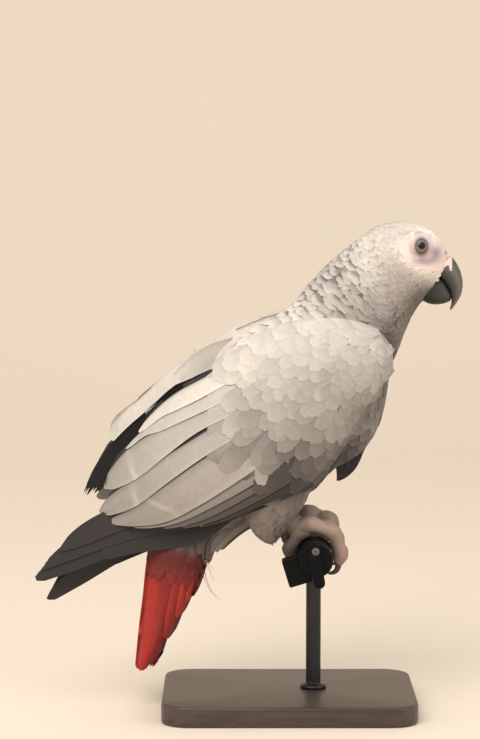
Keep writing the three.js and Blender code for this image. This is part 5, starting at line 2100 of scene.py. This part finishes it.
# Soft plumes between the belly and the tail: front line, rear line and tone.
VENT_PLUMES = [
    ([(-8, 117), (-18, 114.4), (-29, 108), (-38, 100), (-42.6, 95.0)],
     [(-18, 126), (-28, 121), (-37, 113), (-43, 105), (-46.2, 98.4)], 0.48),
    ([(-10, 121), (-21, 117), (-32, 110.6), (-41.4, 101), (-46.4, 94.0)],
     [(-22, 126), (-32, 120), (-41, 113), (-47, 105), (-50.6, 97.0)], 0.45),
    ([(-20, 122), (-30, 117), (-40, 109), (-48, 100), (-52.4, 91.6)],
     [(-32, 125), (-42, 118), (-50, 110), (-54, 101), (-56.6, 93.6)], 0.38),
]

# Loose strands of down in front of the tail's root, as x, z points.
DOWN_STRANDS = [
    [(-55, 92), (-51.6, 86), (-49.8, 79), (-46.8, 72), (-41.6, 66.4)],
    [(-55, 90), (-52.6, 84), (-50.4, 78), (-47.6, 72.4), (-44, 68)],
    [(-54, 94), (-50.4, 89.4), (-48.0, 85.4), (-47.0, 82.4), (-45.6, 79.4)],
    [(-53.6, 95), (-49.8, 90.6), (-47.8, 88.0), (-46.2, 86.6), (-44.6, 85.6)],
]


class PARROT_OT_tail(bpy.types.Operator):
    """Red tail feathers and their coverts"""

    bl_idname = "parrot.build_tail"
    bl_label = "Tail"

    def execute(self, context):
        colours = context.scene.parrot_colours
        red, dark, pale = (np.array(c) for c in (colours.red, colours.red_dark, colours.red_pale))
        material = feather_material("Tail plumage", pitch=0.6, shaft=0.45, relief=0.09,
                                    rough=0.66, sheen=0.08, pale_shaft=0.05)
        surface = Surface(loft(TAIL, 90, 72, power=1.7), True)
        tree, rng = surface.tree(), own_draws(context, 17)
        quills = Quills(rng, cells=(12, 28), columns=5)

        def tint_of(k):
            def tint(w, t):
                # Deep red on the inner vane, partly painted shade.
                base = mix(red * TAIL_LIGHT_AND_SHADE[k] * (1.0, 0.86, 0.86), dark,
                           0.9 * (1 - smooth(w, 0.0, 0.25)))
                base = mix(base, pale, 0.4 * TAIL_LIGHT_AND_SHADE[k] ** 2 * smooth(w, 0.5, 0.95)
                           * smooth(t, 0.3, 0.7))
                # Painted shadow at the root, under the coverts and the primaries.
                return mix(base, dark, 0.85 * (1 - smooth(t, 0.12, 0.5)))
            return tint

        for side in SIDES.values():
            for k, (front, rear) in enumerate(RECTRICES):
                front = np.array(front) - (1.3 if side > 0 else 0.0, 0.0)
                drop = lambda flat: np.maximum(drape_on(tree, side, flat), 1.4) - 0.5 + 0.25 * k
                quills.add(side, front, rear, drop, tint_of(k), hidden=0.2, blunt=0.08,
                           ragged=0.007, gap=(0.2, 0.8), tilt=0.9, back=None)
        for k, (front, rear, tone) in enumerate(VENT_PLUMES):
            for side in SIDES.values():
                drop = lambda flat: np.interp(flat[:, 0], [-52, -30, -16], [6, 9, 11]) + 0.35 * k
                quills.add(side, front, rear, drop,
                           flight_tint(tone, tone + 0.03, 0.04, None, 0.02), hidden=0.1,
                           blunt=0.16, ragged=0.03, gap=(0, 0), tilt=0.15, thick=0.15, back=None)
        for k, line in enumerate(DOWN_STRANDS):
            quills.add(SIDES["right"], line, np.array(line) + (0.55, -0.1),
                       lambda flat: 3 + 1.6 * k, lambda w, t: plumage(0.84 + 0 * w), hidden=0.1,
                       blunt=0.02, gap=(0, 0), tilt=0.1, thick=0.2, back=None)
        fit_out(quills.piece("tail_quills", material), "tail_feathers", "tail")

        coat = Coat(VanePattern(7, 7), rng)
        u, v, gap, wide = scattered_rows(surface, lambda u: 4.6, lambda u: 6.6, (0.0, 0.30), rng)
        shade = rng.random(len(u))

        def covert_tint(s, t):
            # Deep red near the body as painted shade under the wings' edge.
            base = mix(dark, red, np.clip(smooth(u, 0.12, 0.6)[:, None] + 0.15 * t, 0, 1))
            base = mix(base, pale, (0.12 * shade * smooth(u, 0.1, 0.3))[:, None] * t)
            grey_share = 0.85 * (1 - smooth(u[:, None] + 0.1 * t, 0.08, 0.2))
            return mix(base, plumage(0.38), grey_share)

        puff = 0.7 + 2.2 * (1 - smooth(u, 0.0, 0.14)) * smooth(-backness(v), 0.2, 0.9)
        coat.lay(surface, u - 0.1, v, gap * 3.6, wide * 0.62, covert_tint, base=puff[:, None],
                 slope=0.04, stack=0.02, root=0.6, narrow=0.1, thick=0.12)
        fit_out(coat.piece("tail_coverts", material), "tail_feathers")
        return {"FINISHED"}


# Dark feathers that hang below the breast from the far wing's edge: upper and lower lines.
ALULA = [
    ([(44, 176), (40, 167), (35.2, 157), (30.8, 147), (28.4, 137.6)],
     [(50, 170), (48.6, 163), (46, 154.0), (40.6, 143.4), (30.8, 135.0)]),
    ([(45, 178), (42, 169), (38.6, 160), (35.6, 152), (33.4, 145.5)],
     [(51, 172), (49.4, 164.6), (47.2, 157), (44, 150.6), (38.6, 143)]),
    ([(46, 180), (43.6, 171), (41, 163), (39.4, 157), (38.4, 152)],
     [(51.4, 174), (50, 166), (48.4, 159.4), (46.6, 155), (43.4, 149)]),
]


class PARROT_OT_alula(bpy.types.Operator):
    """Dark wrist feathers that hang beside the breast"""

    bl_idname = "parrot.build_alula"
    bl_label = "Wrist feathers"

    def execute(self, context):
        material = feather_material("Wrist plumage", pitch=0.5, shaft=0.35, relief=0.07,
                                    rough=0.64, sheen=0.06, pale_shaft=0.05)
        quills = Quills(own_draws(context, 5), cells=(10, 18), columns=2)
        for k, (top, bottom) in enumerate(ALULA):
            drop = lambda flat: np.interp(
                flat[:, 1], [139, 150, 165, 184], [13, 17, 24, 28]) - 0.5 * k
            quills.add(SIDES["left"], top, bottom, drop,
                       flight_tint(0.24 - 0.02 * k, 0.20, 0.1, None, 0.03), hidden=0.15,
                       blunt=0.16, gap=(0, 0.2), ragged=0.008)
        fit_out(quills.piece("wrist_feathers_left", material), "flight_feathers")
        return {"FINISHED"}


OPERATORS = (
    PARROT_OT_skin, PARROT_OT_eyes, PARROT_OT_bill, PARROT_OT_claws, PARROT_OT_head_coat,
    PARROT_OT_body_coat, PARROT_OT_thigh_coat, PARROT_OT_wing_coverts,
    PARROT_OT_flight_feathers, PARROT_OT_alula, PARROT_OT_tail, PARROT_OT_perch,
    PARROT_OT_stand, PARROT_OT_stage,
)


class PARROT_PT_panel(bpy.types.Panel):
    """Buttons that build the bird piece by piece"""

    bl_idname = "PARROT_PT_panel"
    bl_label = "Grey Parrot"
    bl_space_type = "VIEW_3D"
    bl_region_type = "UI"
    bl_category = "Parrot"

    def draw(self, context):
        layout = self.layout
        for operator in OPERATORS:
            layout.operator(operator.bl_idname)
        for group in ("parrot_sizes", "parrot_colours", "parrot_stage"):
            box = layout.box()
            settings = getattr(context.scene, group)
            for key in settings.__annotations__:
                box.prop(settings, key)


GROUPS = {"parrot_sizes": ParrotSizes, "parrot_colours": ParrotColours,
          "parrot_stage": ParrotStage}


def register():
    for kind in (*GROUPS.values(), *OPERATORS, PARROT_PT_panel):
        bpy.utils.register_class(kind)
    for key, kind in GROUPS.items():
        setattr(bpy.types.Scene, key, PointerProperty(type=kind))


def unregister():
    for key in GROUPS:
        delattr(bpy.types.Scene, key)
    for kind in reversed((*GROUPS.values(), *OPERATORS, PARROT_PT_panel)):
        bpy.utils.unregister_class(kind)


def main():
    """Builds every piece in turn."""
    register()
    for operator in OPERATORS:
        group, action = operator.bl_idname.split(".")
        if getattr(getattr(bpy.ops, group), action)() != {"FINISHED"}:
            raise RuntimeError(f"{operator.bl_label} was not built")


if __name__ == "__main__":
    main()
